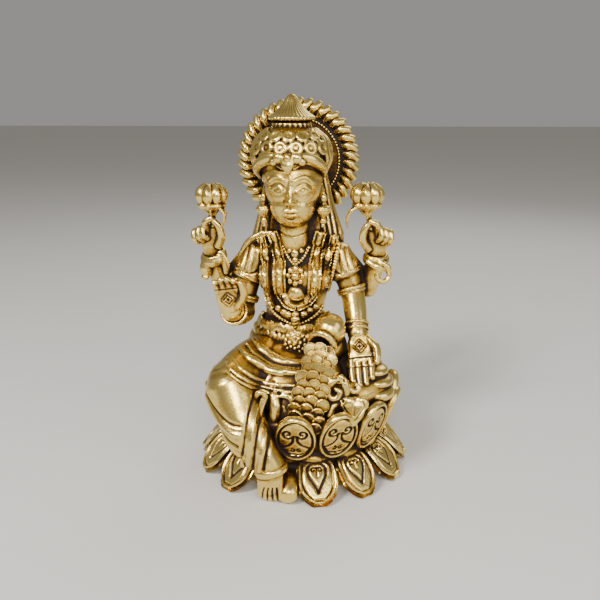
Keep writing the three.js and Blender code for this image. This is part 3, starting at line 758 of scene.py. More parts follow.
class IDOL_OT_lotus(bpy.types.Operator):
    """Model the seat: its core, the ring of oval leaves and the ring of drooping petals"""

    bl_idname = "idol.lotus"
    bl_label = "Lotus seat"

    def execute(self, context):
        size = sizes()
        waist, waist_height = mm(size.waist_radius), mm(size.waist_height)
        step = 2 * math.pi / size.petals
        profile = [
            (0, 0), (16.2, 0), (16.5, 0.5), (16.3, 2.4), (waist + 0.4, 5.2), (waist, waist_height),
            (waist + 0.9, waist_height + 1.6), (17.3, 10), (19.1, 15.0), (18.7, 15.7), (0, 16),
        ]
        core = turned(profile, centre=-ORIGIN, steps=112, flutes=size.petals, depth=0.012)
        mound = limb([(0.7, -14, -14.6), (0.6, -18.0, -13.2), (0.7, -20.6, -14.0)], [4.2, 2.9, 2.2],
                     flat=[0.6, 0.85, 0.9], sides=28)
        collar = turned([
            (0, 4.0), (waist + 0.2, 5.4), (waist + 1.3, 6.4), (waist + 1.4, 7.0), (waist + 0.8, 7.8),
            (0, 8.0),
        ], centre=-ORIGIN, steps=112, flutes=size.petals, depth=-0.02)
        base = fused("lotus_core", [core, collar, mound], grain=0.52, rounds=3)
        held_above(base, 0.0)
        kept(base)
        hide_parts(NODE)
        wobble = np.random.default_rng(7)
        leaves, petals = [], []
        for k in range(size.petals):
            leaves.append(upright_leaf(k * step, wobble.uniform(-0.03, 0.02)))
            if k == size.petals - 1:
                continue  # her right foot stands here
            petals.append(drooping_petal((k + 0.5) * step, wobble.uniform(0.95, 1.03),
                                         wobble.uniform(0, 0.25)))
        kept(joined("upright_leaves", leaves), toning=0.05)
        kept(joined("drooping_petals", petals), toning=-0.12)
        return {"FINISHED"}


# Head, crown and halo

class IDOL_OT_head(bpy.types.Operator):
    """Model the head with a calm, evenly proportioned face, the ears and the neck"""

    bl_idname = "idol.head"
    bl_label = "Head"

    def execute(self, context):
        head = fused("head", [
            ball((0, -0.6, 42.8), (5.6, 6.0, 6.6), segments=48),
            ball((0, -1.8, 38.9), (4.5, 4.4, 4.3), segments=48),
            ball((-0.2, 0.4, 44.8), (6.2, 6.7, 4.4), segments=48),
            limb([(0.2, 1.0, 28), (0.1, 0.2, 36)], [3.2, 2.9], sides=32),
            ball((-5.5, 0.2, 40.6), (0.8, 1.5, 2.3), segments=24),
            ball((5.5, 0.2, 40.6), (0.8, 1.5, 2.3), segments=24),
        ], grain=0.2, rounds=12)
        bumps = [(0, 35.8, 1.5, 0.9, 0.5), (0, 41.1, 0.6, 1.6, 0.8), (0, 39.95, 0.72, 0.6, 0.8),
                 (0, 37.8, 1.6, 0.8, 0.3)]
        strokes = []
        for side in (-1, 1):
            bumps += [
                (side * 2.4, 42.35, 1.75, 0.95, -0.55), (side * 2.38, 42.2, 1.15, 0.6, 0.55),
                (side * 0.75, 39.75, 0.4, 0.35, 0.35), (side * 2.7, 39.4, 2.0, 1.8, 0.4),
            ]
            lid = [(side * 3.75, 42.25), (side * 3.1, 42.75), (side * 2.2, 42.85), (side * 1.15, 42.1)]
            under = [(side * 3.7, 42.2), (side * 2.9, 41.7), (side * 2.0, 41.6), (side * 1.2, 42.0)]
            crease = [(side * 3.9, 42.9), (side * 3.0, 43.5), (side * 2.1, 43.6), (side * 1.2, 43.0)]
            brow = [(side * 4.5, 43.5), (side * 3.4, 44.5), (side * 2.1, 44.7), (side * 0.8, 44.0)]
            ring = [(side * 2.35 + 0.42 * math.cos(a), 42.3 + 0.42 * math.sin(a))
                    for a in np.linspace(0, 2 * math.pi, 9)]
            wing = [(side * 1.25, 40.4), (side * 1.4, 39.9), (side * 1.1, 39.4)]
            strokes += [
                (lid, 0.34, 0.3), (under, 0.24, 0.12), (crease, 0.24, -0.16), (brow, 0.42, 0.26),
                (ring, 0.16, -0.08), (wing, 0.24, -0.08),
                ([(side * 0.45, 39.2), (side * 0.7, 39.25)], 0.22, -0.12),
            ]
        strokes += [
            ([(-1.4, 38.1), (-0.6, 38.3), (0, 38.2), (0.6, 38.3), (1.4, 38.1)], 0.42, 0.2),
            ([(-1.0, 37.45), (0, 37.25), (1.0, 37.45)], 0.5, 0.24),
            ([(-1.7, 38.1), (-1.0, 37.84), (0, 37.76), (1.0, 37.84), (1.7, 38.1)], 0.24, -0.18),
            ([(-0.6, 36.75), (0, 36.65), (0.6, 36.75)], 0.3, -0.14),
            ([(0, 39.1), (0, 38.6)], 0.25, -0.14),
            ([(0, 44.3), (0, 44.9)], 0.35, 0.22),
        ]
        swollen(head, bumps)
        carved(head, strokes, within=(1.0, 12.0), along=FRONT)
        applied(head, "SMOOTH", factor=0.5, iterations=1)
        carved(head, [([(-2.9, 33.4), (0, 32.7), (2.9, 33.4)], 0.3, -0.16)])
        kept(head, toning=-0.1)
        return {"FINISHED"}


CROWN_CENTRE = np.array([-0.4, 0.8, 48.4])
CROWN_RADII = np.array([7.6, 7.2, 6.4])


def on_crown(angle, share, proud=0.0):
    """A point of the crown's dome, at an angle in degrees from the front and a share of its height."""
    wide = math.sqrt(1 - share * share)
    turn = math.radians(angle)
    return CROWN_CENTRE + (CROWN_RADII + proud) * [wide * math.sin(turn), -wide * math.cos(turn), share]


def rosette(centre, out, radius):
    """A flower of eight round petals about a round heart."""
    out = unit(out)
    side = unit(np.cross(out, UP + 0.01))
    up = np.cross(side, out)
    spots, radii = [centre + out * 0.3 * radius], [0.5 * radius]
    for k in range(8):
        turn = k * math.pi / 4
        spots.append(centre + (math.cos(turn) * side + math.sin(turn) * up) * 0.72 * radius)
        radii.append(0.36 * radius)
    return beads(spots, radii)


def curl(centre, out, radius):
    """A ring of hair with a small knob in its middle."""
    knob = radius * 0.36
    return [hoop(centre, out, radius * 0.68, radius * 0.37, segments=20),
            ball(centre, (knob, knob, knob), segments=10)]


class IDOL_OT_crown(bpy.types.Operator):
    """Model the crown: its dome with rows of curled flowers, the diadem, its jewel and the fluted cone"""

    bl_idname = "idol.crown"
    bl_label = "Crown"

    def execute(self, context):
        dome = fused("crown_dome", [
            ball(CROWN_CENTRE, CROWN_RADII * 0.97, segments=64),
        ], grain=0.3, rounds=2)
        kept(dome)
        axis = (CROWN_CENTRE[0], 1.2, 0)
        neck = turned([(0, 51.8), (4.3, 52.2), (3.75, 53.0), (3.7, 54.0), (4.1, 54.8), (0, 55.2)],
                      centre=axis, steps=200, flutes=22, depth=0.022)
        neck = joined("crown_neck", [neck])
        applied(neck, "SUBSURF", levels=1, render_levels=1)
        kept(neck, toning=-0.12)
        curls = []
        for share, count, shift, limit, radius in [(0.58, 15, 0.0, 52, 1.3), (0.25, 16, 0.5, 60, 1.42),
                                                   (-0.06, 18, 0.0, 48, 1.2)]:
            for k in range(count):
                angle = ((k + shift) * 360 / count + 180) % 360 - 180
                if abs(angle) < limit:
                    centre = on_crown(angle, share, 0.0)
                    curls += curl(centre, (centre - CROWN_CENTRE) / CROWN_RADII ** 2, radius)
        for k in range(22):
            angle = 64 + k * 232 / 21
            line = [on_crown(angle + sway, share, 0.05) for sway, share in
                    [(-3, 0.78), (2, 0.5), (-2, 0.2), (2, -0.1), (0, -0.42)]]
            curls.append(limb(line, [0.35, 0.6, 0.62, 0.6, 0.45], sides=12, rings=20))
        kept(fused("crown_curls", curls, grain=0.21, rounds=1))
        diadem = []
        for side in (-1, 1):
            roll = [on_crown(side * angle, share, 0.35) for angle, share in
                    [(5, -0.19), (20, 0.0), (40, -0.1), (62, -0.34), (86, -0.62)]]
            diadem.append(limb(roll, [0.75, 0.92, 1.0, 0.95, 0.55], flat=0.78, wide=UP, sides=24))
            edge = [on_crown(side * angle, share, 0.3) for angle, share in
                    [(8, -0.31), (22, -0.14), (42, -0.24), (64, -0.47), (86, -0.72)]]
            diadem.append(limb(edge, [0.35, 0.4, 0.4, 0.35, 0.3], wide=UP, sides=12))
            diadem.append(ball((side * 1.6 - 0.4, -7.15, 48.3), (1.15, 0.7, 1.0)))
            diadem.append(ball((side * 2.7 - 0.4, -6.9, 47.6), (0.75, 0.6, 0.7)))
        diadem.append(limb([(-0.4, -7.2, 48.2), (-0.4, -7.75, 46.8), (-0.3, -7.6, 45.5)], [1.5, 1.15, 0.3],
                           flat=0.5, sides=20))
        diadem.append(ball((-0.4, -7.9, 48.3), (0.6, 0.4, 0.75)))
        kept(fused("diadem", diadem, grain=0.16, rounds=1))
        cone = turned([
            (0, 54.6), (4.2, 54.9), (4.75, 55.3), (4.6, 55.75), (3.7, 56.2), (2.75, 57.0), (1.95, 57.9),
            (1.4, 58.8), (0.95, 59.55), (0.45, 59.92), (0, 60.0),
        ], centre=axis, steps=216, flutes=36, depth=0.014)
        cone = joined("crown_cone", [cone])
        applied(cone, "SUBSURF", levels=1, render_levels=1)
        kept(cone, toning=-0.08)
        return {"FINISHED"}


HALO_CENTRE = np.array([0.2, 8.7, 46.8])


class IDOL_OT_halo(bpy.types.Operator):
    """Model the halo: a dish with a ring of beads and a rim like a twisted rope"""

    bl_idname = "idol.halo"
    bl_label = "Halo"

    def execute(self, context):
        size = sizes()
        centre = HALO_CENTRE
        rope = mm(size.halo_radius) - 1.85
        dish = turned([
            (0, -0.9), (rope, -0.9), (rope + 0.7, -0.3), (rope - 0.2, 0.5), (rope - 0.9, 0.55),
            (rope - 1.3, -0.1), (rope - 1.9, -0.15), (rope - 3.0, -0.2), (0, -0.3),
        ], centre=centre, axis=FRONT, steps=144)
        kept(joined("halo_dish", [dish]), angle=35, toning=0.45)
        lobes = []
        for k in range(size.halo_lobes):
            angle = 2 * math.pi * k / size.halo_lobes
            out = np.array([math.sin(angle), 0, math.cos(angle)])
            along = np.array([math.cos(angle), 0, -math.sin(angle)])
            place = centre + out * rope
            lean = unit(out * 1.0 + along * 0.5 - FRONT * 0.25)
            start, end = place - lean * 1.5 + FRONT * 0.1, place + lean * 1.15
            lobes.append(limb([start, (start + end) / 2 + FRONT * 0.5 - along * 0.3, end], [0.45, 0.78, 0.82],
                              sides=14, wide=FRONT, tip=0.8, rings=8))
        kept(joined("halo_rope", lobes))
        ring = []
        for k in range(size.halo_beads):
            angle = 2 * math.pi * k / size.halo_beads
            out = np.array([math.sin(angle), 0, math.cos(angle)])
            ring.append(centre + out * (rope - 2.45) + FRONT * 0.05)
        kept(joined("halo_beads", [beads(ring, 0.29)]), toning=-0.5)
        return {"FINISHED"}


class IDOL_OT_hair(bpy.types.Operator):
    """Model the veil and hair that fall behind the head, and the bell earrings"""

    bl_idname = "idol.hair"
    bl_label = "Veil and earrings"

    def execute(self, context):
        veil = fused("veil", [
            limb([(0.2, 4.9, 46), (0.3, 4.8, 38), (0.5, 4.2, 32), (0.8, 3.8, 27)], [6.0, 7.8, 9.7, 9.4],
                 sides=40, flat=[0.6, 0.5, 0.42, 0.4], tip=0.4),
            limb([(0.2, 6.6, 44), (0.3, 7.6, 36), (0.4, 7.9, 26), (0.4, 7.2, 15)], [3.2, 3.1, 2.6, 1.2],
                 sides=28),
        ], grain=0.33, rounds=3)
        front = [([(x * 0.72, 45), (x * 0.86 + 0.1, 39), (x + 0.2, 33), (x * 1.08, 27)], 0.45, -0.4)
                 for x in (-8.9, -7.8, -6.7, -5.6, 5.6, 6.7, 7.8, 8.9)]
        carved(veil, front)
        back = [([(x * 0.7, 46), (x * 0.85, 39), (x, 32), (x * 1.0, 25), (x * 0.5, 14)], 0.5, -0.42)
                for x in (-7.8, -6.3, -4.8, -3.3, -2.0, -0.7, 0.7, 2.0, 3.3, 4.8, 6.3, 7.8)]
        carved(veil, back, view=view_from(180))
        kept(veil)
        drops = []
        for side in (-1, 1):
            x = side * 5.9 + 0.1
            bell = turned([
                (0, 38.9), (1.3, 38.7), (1.55, 38.2), (1.5, 37.6), (1.1, 37.1), (0.8, 36.6), (0.3, 36.3),
                (0, 36.2),
            ][::-1], centre=(x, -0.9, 0), steps=40, flutes=10, depth=0.03)
            drops += [bell, ball((x, -0.9, 40.2), (0.75, 0.6, 0.9)),
                      ball((x, -0.9, 35.7), (0.75, 0.75, 0.75)),
                      ball((x, -0.9, 34.8), (0.4, 0.4, 0.5)), hoop((x, -0.9, 38.0), UP, 1.5, 0.22),
                      limb([(x, -0.6, 41.2), (x, -0.9, 38.6)], [0.35, 0.3], sides=12)]
        kept(joined("earrings", drops))
        return {"FINISHED"}


# The body

BODY = {}  # the torso's search tree, on which the jewellery is laid


class IDOL_OT_body(bpy.types.Operator):
    """Model the torso in its blouse and the four arms, fused as they were cast"""

    bl_idname = "idol.body"
    bl_label = "Torso and arms"

    def execute(self, context):
        spine = [(0.5, 3, -1), (0.4, 2.8, 5), (0.1, 2.4, 10), (0, 2.2, 15.5), (0.2, 2, 21), (0.5, 2, 26.5),
                 (0.6, 1.8, 31)]
        parts = [
            limb(spine, [11.6, 11.2, 8.4, 5.9, 6.8, 8.3, 4.2], sides=56,
                 flat=[0.72, 0.72, 0.74, 0.8, 0.74, 0.6, 0.7], tip=0.1),
            ball((-3.1, -2.2, 24.4), (3.2, 3.0, 3.1), segments=36),
            ball((3.5, -2.2, 24.4), (3.2, 3.0, 3.1), segments=36),
            ball((0.3, -1.5, 17.6), (3.2, 2.8, 3.0), segments=36),
            ball((0.8, -3.3, 21.6), (2.1, 2.0, 2.0), segments=36),
        ]
        arms = [
            ([(-7.0, 1.6, 28.6), (-9.4, 0.9, 23.6), (-10.6, -0.4, 17.2)], [3.1, 2.9, 2.7, 2.4, 2.4], 32),
            ([(-10.6, -0.6, 16.6), (-11.1, -4.2, 17.0), (-11.7, -7.6, 19.0)], [2.7, 2.5, 2.3], 32),
            ([(8.6, 1.8, 28.6), (10.8, 1.4, 24.4), (12.2, 0.6, 20.0)], [3.1, 2.9, 2.7, 2.4, 2.4], 32),
            ([(12.2, 0.6, 20.6), (12.9, -2.2, 17.0), (13.3, -5.2, 13.4)], [2.5, 2.35, 1.95], 32),
            ([(-6.6, 3.4, 28.4), (-10.4, 3.6, 24.4), (-14.3, 3.2, 20.6)], [2.9, 2.5, 2.3], 28),
            ([(-14.3, 3.0, 20.4), (-16.0, 2.0, 24.2), (-16.9, 0.8, 28.6)], [2.5, 2.1, 1.7], 28),
            ([(8.4, 3.8, 28.4), (11.8, 4.4, 24.8), (14.8, 4.3, 21.0)], [2.8, 2.5, 2.3], 28),
            ([(14.8, 4.2, 20.8), (16.2, 3.2, 24.4), (16.9, 1.6, 28.6)], [2.5, 2.1, 1.7], 28),
        ]
        parts += [limb(line, radii, sides=sides) for line, radii, sides in arms]
        parts += [
            limb([(-6.8, 1.4, 29.0), (-9.4, 0.6, 24.4)], [3.1, 3.45], tip=0.35, sides=36),
            limb([(8.4, 1.6, 29.0), (10.6, 1.2, 24.8)], [3.1, 3.4], tip=0.35, sides=36),
        ]
        body = fused("torso_and_arms", parts, grain=0.33, rounds=3)
        lines = [
            ([(-6.6, 23.0), (-4.0, 21.0), (-2.4, 21.4)], 0.4, -0.3),
            ([(3.6, 21.5), (4.6, 21.0), (6.8, 23.0)], 0.4, -0.3),
            ([(-6.0, 15.6), (-3.0, 14.8), (-1.0, 15.2)], 0.3, -0.25),
            ([(1.6, 15.2), (3.8, 14.8), (6.2, 15.8)], 0.3, -0.25),
        ]
        for side, lean in ((-1, 0.0), (1, 1.4)):
            for top, low in ((6.4, 6.6), (7.7, 8.4), (9.0, 10.3)):
                lines.append(([(side * top + lean, 30.4), (side * (top + low) / 2 + lean, 27.6),
                               (side * low + lean, 25.6)], 0.42, -0.24))
            lines.append(([(side * 12.2 + lean, 26.4), (side * 9.4 + lean, 25.0), (side * 6.4 + lean, 25.6)],
                          0.34, -0.45))
        carved(body, lines)
        back = [([(x, 29), (x * 0.9, 22), (x * 0.75, 16)], 0.5, -0.2) for x in (-5, -3, 3, 5)]
        back += [([(x * 0.78, 12.6), (x, 7), (x * 1.06, 0.5)], 0.6, -0.5) for x in range(-9, 10, 2)]
        carved(body, back, view=view_from(180))
        kept(body)
        BODY["torso"] = tree_of(body)
        return {"FINISHED"}


def beaded_band(step):
    """The height across a garland: beads a step apart at each edge, and flowers along its middle."""
    def height(along, across):
        """The height at a distance along the band and a place across it."""
        edge = math.exp(-((abs(across) - 0.78) / 0.17) ** 2)
        bead = 0.3 + 0.7 * abs(math.sin(math.pi * along / step))
        flower = abs(math.sin(math.pi * along / (2.6 * step))) ** 0.7
        middle = math.exp(-(across / 0.42) ** 2) * (0.35 + 0.65 * flower)
        groove = math.exp(-((abs(across) - 0.5) / 0.1) ** 2)
        return 0.7 + 0.4 * edge * bead + 0.5 * middle - 0.22 * groove - 0.5 * between(abs(across), 0.9, 1.0)
    return height


def strung(tree, points, radius, gap, proud=0.45):
    """Beads a gap apart on a line over the blouse."""
    line = smooth_line(points, np.linspace(0, 1, 160))
    steps = np.concatenate([[0], np.cumsum(np.linalg.norm(np.diff(line, axis=0), axis=1))])
    spots = []
    for place in np.arange(0, steps[-1], gap):
        x, z = np.interp(place, steps, line[:, 0]), np.interp(place, steps, line[:, 1])
        spot = laid_on(tree, x, z, sink=-proud)
        if spot is not None:
            spots.append(spot)
    return beads(spots, radius)


class IDOL_OT_jewellery(bpy.types.Operator):
    """Model the garlands, necklaces, pendants, belt and medallion over the blouse"""

    bl_idname = "idol.jewellery"
    bl_label = "Garlands and belt"

    def execute(self, context):
        tree = BODY["torso"]
        height = beaded_band(0.62)
        left = [(-4.3, 33.2), (-3.3, 30.6), (-2.6, 27.8), (-2.5, 24.8), (-2.2, 21.6), (-0.9, 19.4),
                (0.9, 18.7)]
        right = [(5.6, 33.4), (4.9, 30.6), (4.5, 27.8), (4.5, 24.8), (4.1, 21.6), (2.9, 19.5), (1.0, 18.7)]
        outer = [(-6.6, 32.4), (-5.9, 29.4), (-5.2, 26.4), (-5.0, 23.0), (-4.7, 20.0), (-3.9, 17.8)]
        strap = [(8.3, 32.6), (7.6, 29.4), (6.7, 26.0), (6.3, 22.6)]
        bands = [
            ribbon("band", tree, left, [1.3, 1.3, 1.25, 1.1, 0.9], height),
            ribbon("band", tree, right, [1.3, 1.3, 1.25, 1.1, 0.9], height),
            ribbon("band", tree, outer, [1.0, 1.0, 0.9, 0.7], beaded_band(0.5)),
            ribbon("band", tree, strap, [0.9, 0.9, 0.8], beaded_band(0.5)),
        ]
        kept(joined("garlands", bands), toning=-0.12)
        trinkets = [
            strung(tree, [(9.3, 32.0), (8.8, 28.6), (8.0, 25.0), (7.2, 21.6), (6.6, 18.4)], 0.52, 0.62),
            strung(tree, [(-3.4, 33.2), (-1.4, 31.2), (0.6, 30.6), (2.8, 31.4), (4.8, 33.4)], 0.4, 0.6, 0.5),
            strung(tree, [(-2.0, 30.4), (-0.6, 28.2), (0.6, 27.2), (2.0, 28.2), (3.3, 30.4)],
                   0.36, 0.56, 0.4),
            strung(tree, [(-5.4, 18.2), (-3.0, 16.0), (0.8, 14.6), (4.4, 16.0), (6.4, 18.2)],
                   0.42, 0.62, 0.4),
        ]
        for x, z, radius in [(0.5, 29.2, 0.75), (0.6, 28.0, 0.6), (-0.6, 29.8, 0.45), (1.8, 29.8, 0.45)]:
            spot = laid_on(tree, x, z, sink=-0.6)
            trinkets.append(ball(spot, (radius, 0.5, radius * 1.25)))
        pendant = laid_on(tree, 0.8, 25.2, sink=-1.0)
        trinkets.append(rosette(pendant, FRONT + [0, 0, 0.15], 2.0))
        trinkets.append(ball(pendant + [0, 0.5, 0], (1.9, 0.9, 1.7)))
        for x, z in [(-1.6, 17.6), (-2.8, 18.0), (3.4, 17.7), (4.6, 18.2), (-0.6, 17.2), (2.4, 17.2)]:
            spot = laid_on(tree, x, z, sink=-0.7)
            trinkets.append(ball(spot, (0.75, 0.55, 0.7)))
        for z, radius in [(17.4, 0.7), (16.3, 0.95), (15.3, 0.8), (14.4, 0.5)]:
            trinkets.append(ball(laid_on(tree, 0.8, z, sink=-1.0), (radius, 0.7, 0.75)))
        kept(joined("necklaces", trinkets))
        rng = np.random.default_rng(11)
        fringe = []
        for k in range(64):
            for row in range(3):
                angle = 2 * math.pi * (k + 0.5 * (row % 2)) / 64
                z = 10.2 + 1.75 * row + rng.uniform(-0.25, 0.25)
                wide, deep = 9.7 - 0.9 * row, 7.4 - 0.5 * row
                spot = np.array([0.3 + wide * math.sin(angle), 2.6 - deep * math.cos(angle), z])
                lean = np.array([rng.uniform(-0.35, 0.35) - 0.3 * math.sin(angle), 0.25, 1.0])
                fringe.append(ball(spot, (0.5, 0.5, rng.uniform(1.1, 1.45)), axis=lean, segments=12))
        medallion = [ball((1.0, -7.2, 12.6), (2.0, 1.4, 2.2), segments=32)]
        for k in range(14):
            turn = 2 * math.pi * k / 14
            medallion.append(ball((1.0 + 1.95 * math.sin(turn), -7.6, 12.4 + 2.1 * math.cos(turn)),
                                  (0.5, 0.6, 0.5), segments=14))
        medallion.append(ball((1.0, -8.6, 12.5), (0.62, 0.5, 0.62), segments=16))
        for k in range(8):
            turn = math.pi * k / 4
            medallion.append(ball((1.0 + 1.12 * math.sin(turn), -8.35, 12.5 + 1.18 * math.cos(turn)),
                                  (0.42, 0.42, 0.42), segments=14))
        kept(fused("belt", fringe, grain=0.25, rounds=1), toning=-0.16)
        kept(fused("medallion", medallion, grain=0.15, rounds=2), toning=-0.1)
        return {"FINISHED"}


# Hands

def hand_view(fingers_to, palm_to):
    """Across, along the fingers and out of the palm."""
    up = unit(fingers_to)
    out = np.asarray(palm_to, float)
    out = unit(out - (out @ up) * up)
    return np.cross(up, out), up, out


def palm_mark(centre):
    """A square set on its point, with a smaller one inside, raised on the palm."""
    x, y = centre
    strokes = []
    for half, height in ((1.25, 0.3), (0.6, 0.22)):
        corners = [(x, y + half), (x + half, y), (x, y - half), (x - half, y), (x, y + half)]
        for a, b in zip(corners[:-1], corners[1:]):
            strokes.append(([a, b], 0.2, height))
    return strokes


FINGERS = ((-1.95, 3.1), (-0.66, 3.9), (0.66, 4.1), (1.95, 3.5))  # the place across the palm and the length


def open_hand(name, wrist, fingers_to, palm_to, curl, reach=1.0, thumb=1):
    """An open hand with its palm to the viewer. Its thumb is on the side that thumb's sign gives."""
    across, up, out = hand_view(fingers_to, palm_to)

    def put(x, y, z):
        """A spot of the hand, across it, along it and out of it."""
        return np.asarray(wrist, float) + x * across + y * up + z * out

    parts = [limb([put(0, -1.6, 0), put(0, 1.6, 0), put(0, 4.6, 0)], [1.7, 2.55, 2.35],
                  flat=[0.8, 0.55, 0.42], wide=across, sides=32, tip=0.5)]
    for k, (x, tall) in enumerate(FINGERS):
        tall *= reach
        bend = curl * (1 + 0.15 * k)
        parts.append(limb([put(x * 0.92, 3.6, 0.0), put(x, 4.6 + tall * 0.5, 0.15 + bend * 0.4),
                           put(x * 0.96, 4.4 + tall, 0.3 + bend)], [0.78, 0.72, 0.6], wide=across, sides=18))
    parts.append(limb([put(thumb * 1.4, 0.4, 0.3), put(thumb * 3.1, 2.4, 0.8), put(thumb * 3.3, 4.4, 1.1),
                       put(thumb * 3.0, 5.8, 1.3)], [1.0, 0.84, 0.72, 0.55], wide=out, sides=18))
    hand = fused(name, parts, grain=0.16, rounds=3)
    view = (across, up, out)
    swollen(hand, [(0, 2.0, 1.5, 1.9, -0.35), (1.9, 1.2, 1.0, 1.4, 0.3), (-1.9, 1.4, 0.7, 1.6, 0.25)],
            toward=out, right=across, up=up, centre=wrist)
    carved(hand, palm_mark((0.1, 2.2)), view=view, centre=wrist)
    creases = [([(-2.4, 4.3), (2.4, 4.5)], 0.2, -0.2)]
    creases += [([(x - 0.6, 6.3), (x + 0.6, 6.3)], 0.16, -0.12) for x, _ in FINGERS]
    carved(hand, creases, view=view, centre=wrist)
    return hand


def holding_hand(name, wrist, bud, side):
    """A hand that lifts a lotus between forefinger and thumb, the other fingers curled into the palm."""
    across, up, out = hand_view(np.asarray(bud, float) - wrist, FRONT)

    def put(x, y, z):
        """A spot of the hand, across it, along it and out of it."""
        return np.asarray(wrist, float) + side * x * across + y * up + z * out

    parts = [
        limb([put(0, -1.2, 0), put(0.2, 2.2, 0), put(0.4, 4.6, 0)], [1.6, 2.3, 2.0], flat=[0.8, 0.6, 0.55],
             wide=across, sides=28, tip=0.5),
        limb([put(-1.5, 1.6, 0.8), put(-2.3, 3.8, 1.5), put(-1.7, 6.0, 1.5), put(-0.4, 7.2, 1.2)],
             [0.95, 0.8, 0.7, 0.6], wide=out, sides=18),
        limb([put(0.9, 4.4, 0.6), put(1.0, 6.6, 1.4), put(-0.3, 7.6, 1.4)], [0.85, 0.72, 0.6],
             wide=out, sides=18),
        limb([put(-0.3, 5.6, 0.4), put(-0.4, 8.6, 0.2), put(0, 11.4, 0)], [0.55, 0.62, 0.75],
             wide=out, sides=16),
    ]
    for k in range(3):
        x = 1.2 + 0.9 * k
        low = 0.55 * k
        finger = [put(x - 0.5, 4.4 - low, 0.2), put(x + 0.3, 5.6 - low, 1.0), put(x + 0.2, 4.2 - low, 2.0),
                  put(x - 0.7, 3.2 - low, 1.5)]
        parts.append(limb(finger, [0.66, 0.62, 0.58, 0.5], wide=across, sides=16))
    return fused(name, parts, grain=0.16, rounds=2)


BUD_RADIUS = 3.3  # millimetres
BUD_HEIGHT = 2.5  # millimetres from the middle of a bud to its top


def lotus_bud(name, centre, droop):
    """A closed lotus of eight petals on its cup, with one outer petal that has fallen open."""
    centre = np.asarray(centre, float)
    bloom = joined("bloom", [ball(centre, (BUD_RADIUS, 3.2, BUD_HEIGHT), segments=96)])
    spots, normals = surface(bloom)
    local = spots - centre
    turn = np.arctan2(local[:, 1], local[:, 0])
    wave = np.abs(np.cos(turn * 4 + 0.4))
    valley = 1 - wave ** 0.5
    rib = np.exp(-((wave - 1) / 0.06) ** 2)
    reach = np.hypot(local[:, 0], local[:, 1]) / BUD_RADIUS
    depth = (-0.62 * valley + 0.1 * rib) * between(reach, 0.12, 0.5)
    dimple = -0.7 * np.exp(-(reach / 0.22) ** 2) * (local[:, 2] > 0)
    reset(bloom, spots + normals * (depth + dimple)[:, None])
    parts = [
        turned([(0, -4.4), (0.9, -4.0), (1.3, -3.2), (2.5, -2.5), (2.9, -1.9), (2.4, -1.3), (0, -1.0)],
               centre=centre, steps=64, flutes=8, depth=0.07),
        limb(droop, [1.0, 1.15, 0.9, 0.5], flat=0.35, sides=18, wide=FRONT),
    ]
    cup = fused("cup", parts, grain=0.18, rounds=2)
    return joined(name, [bloom, cup])


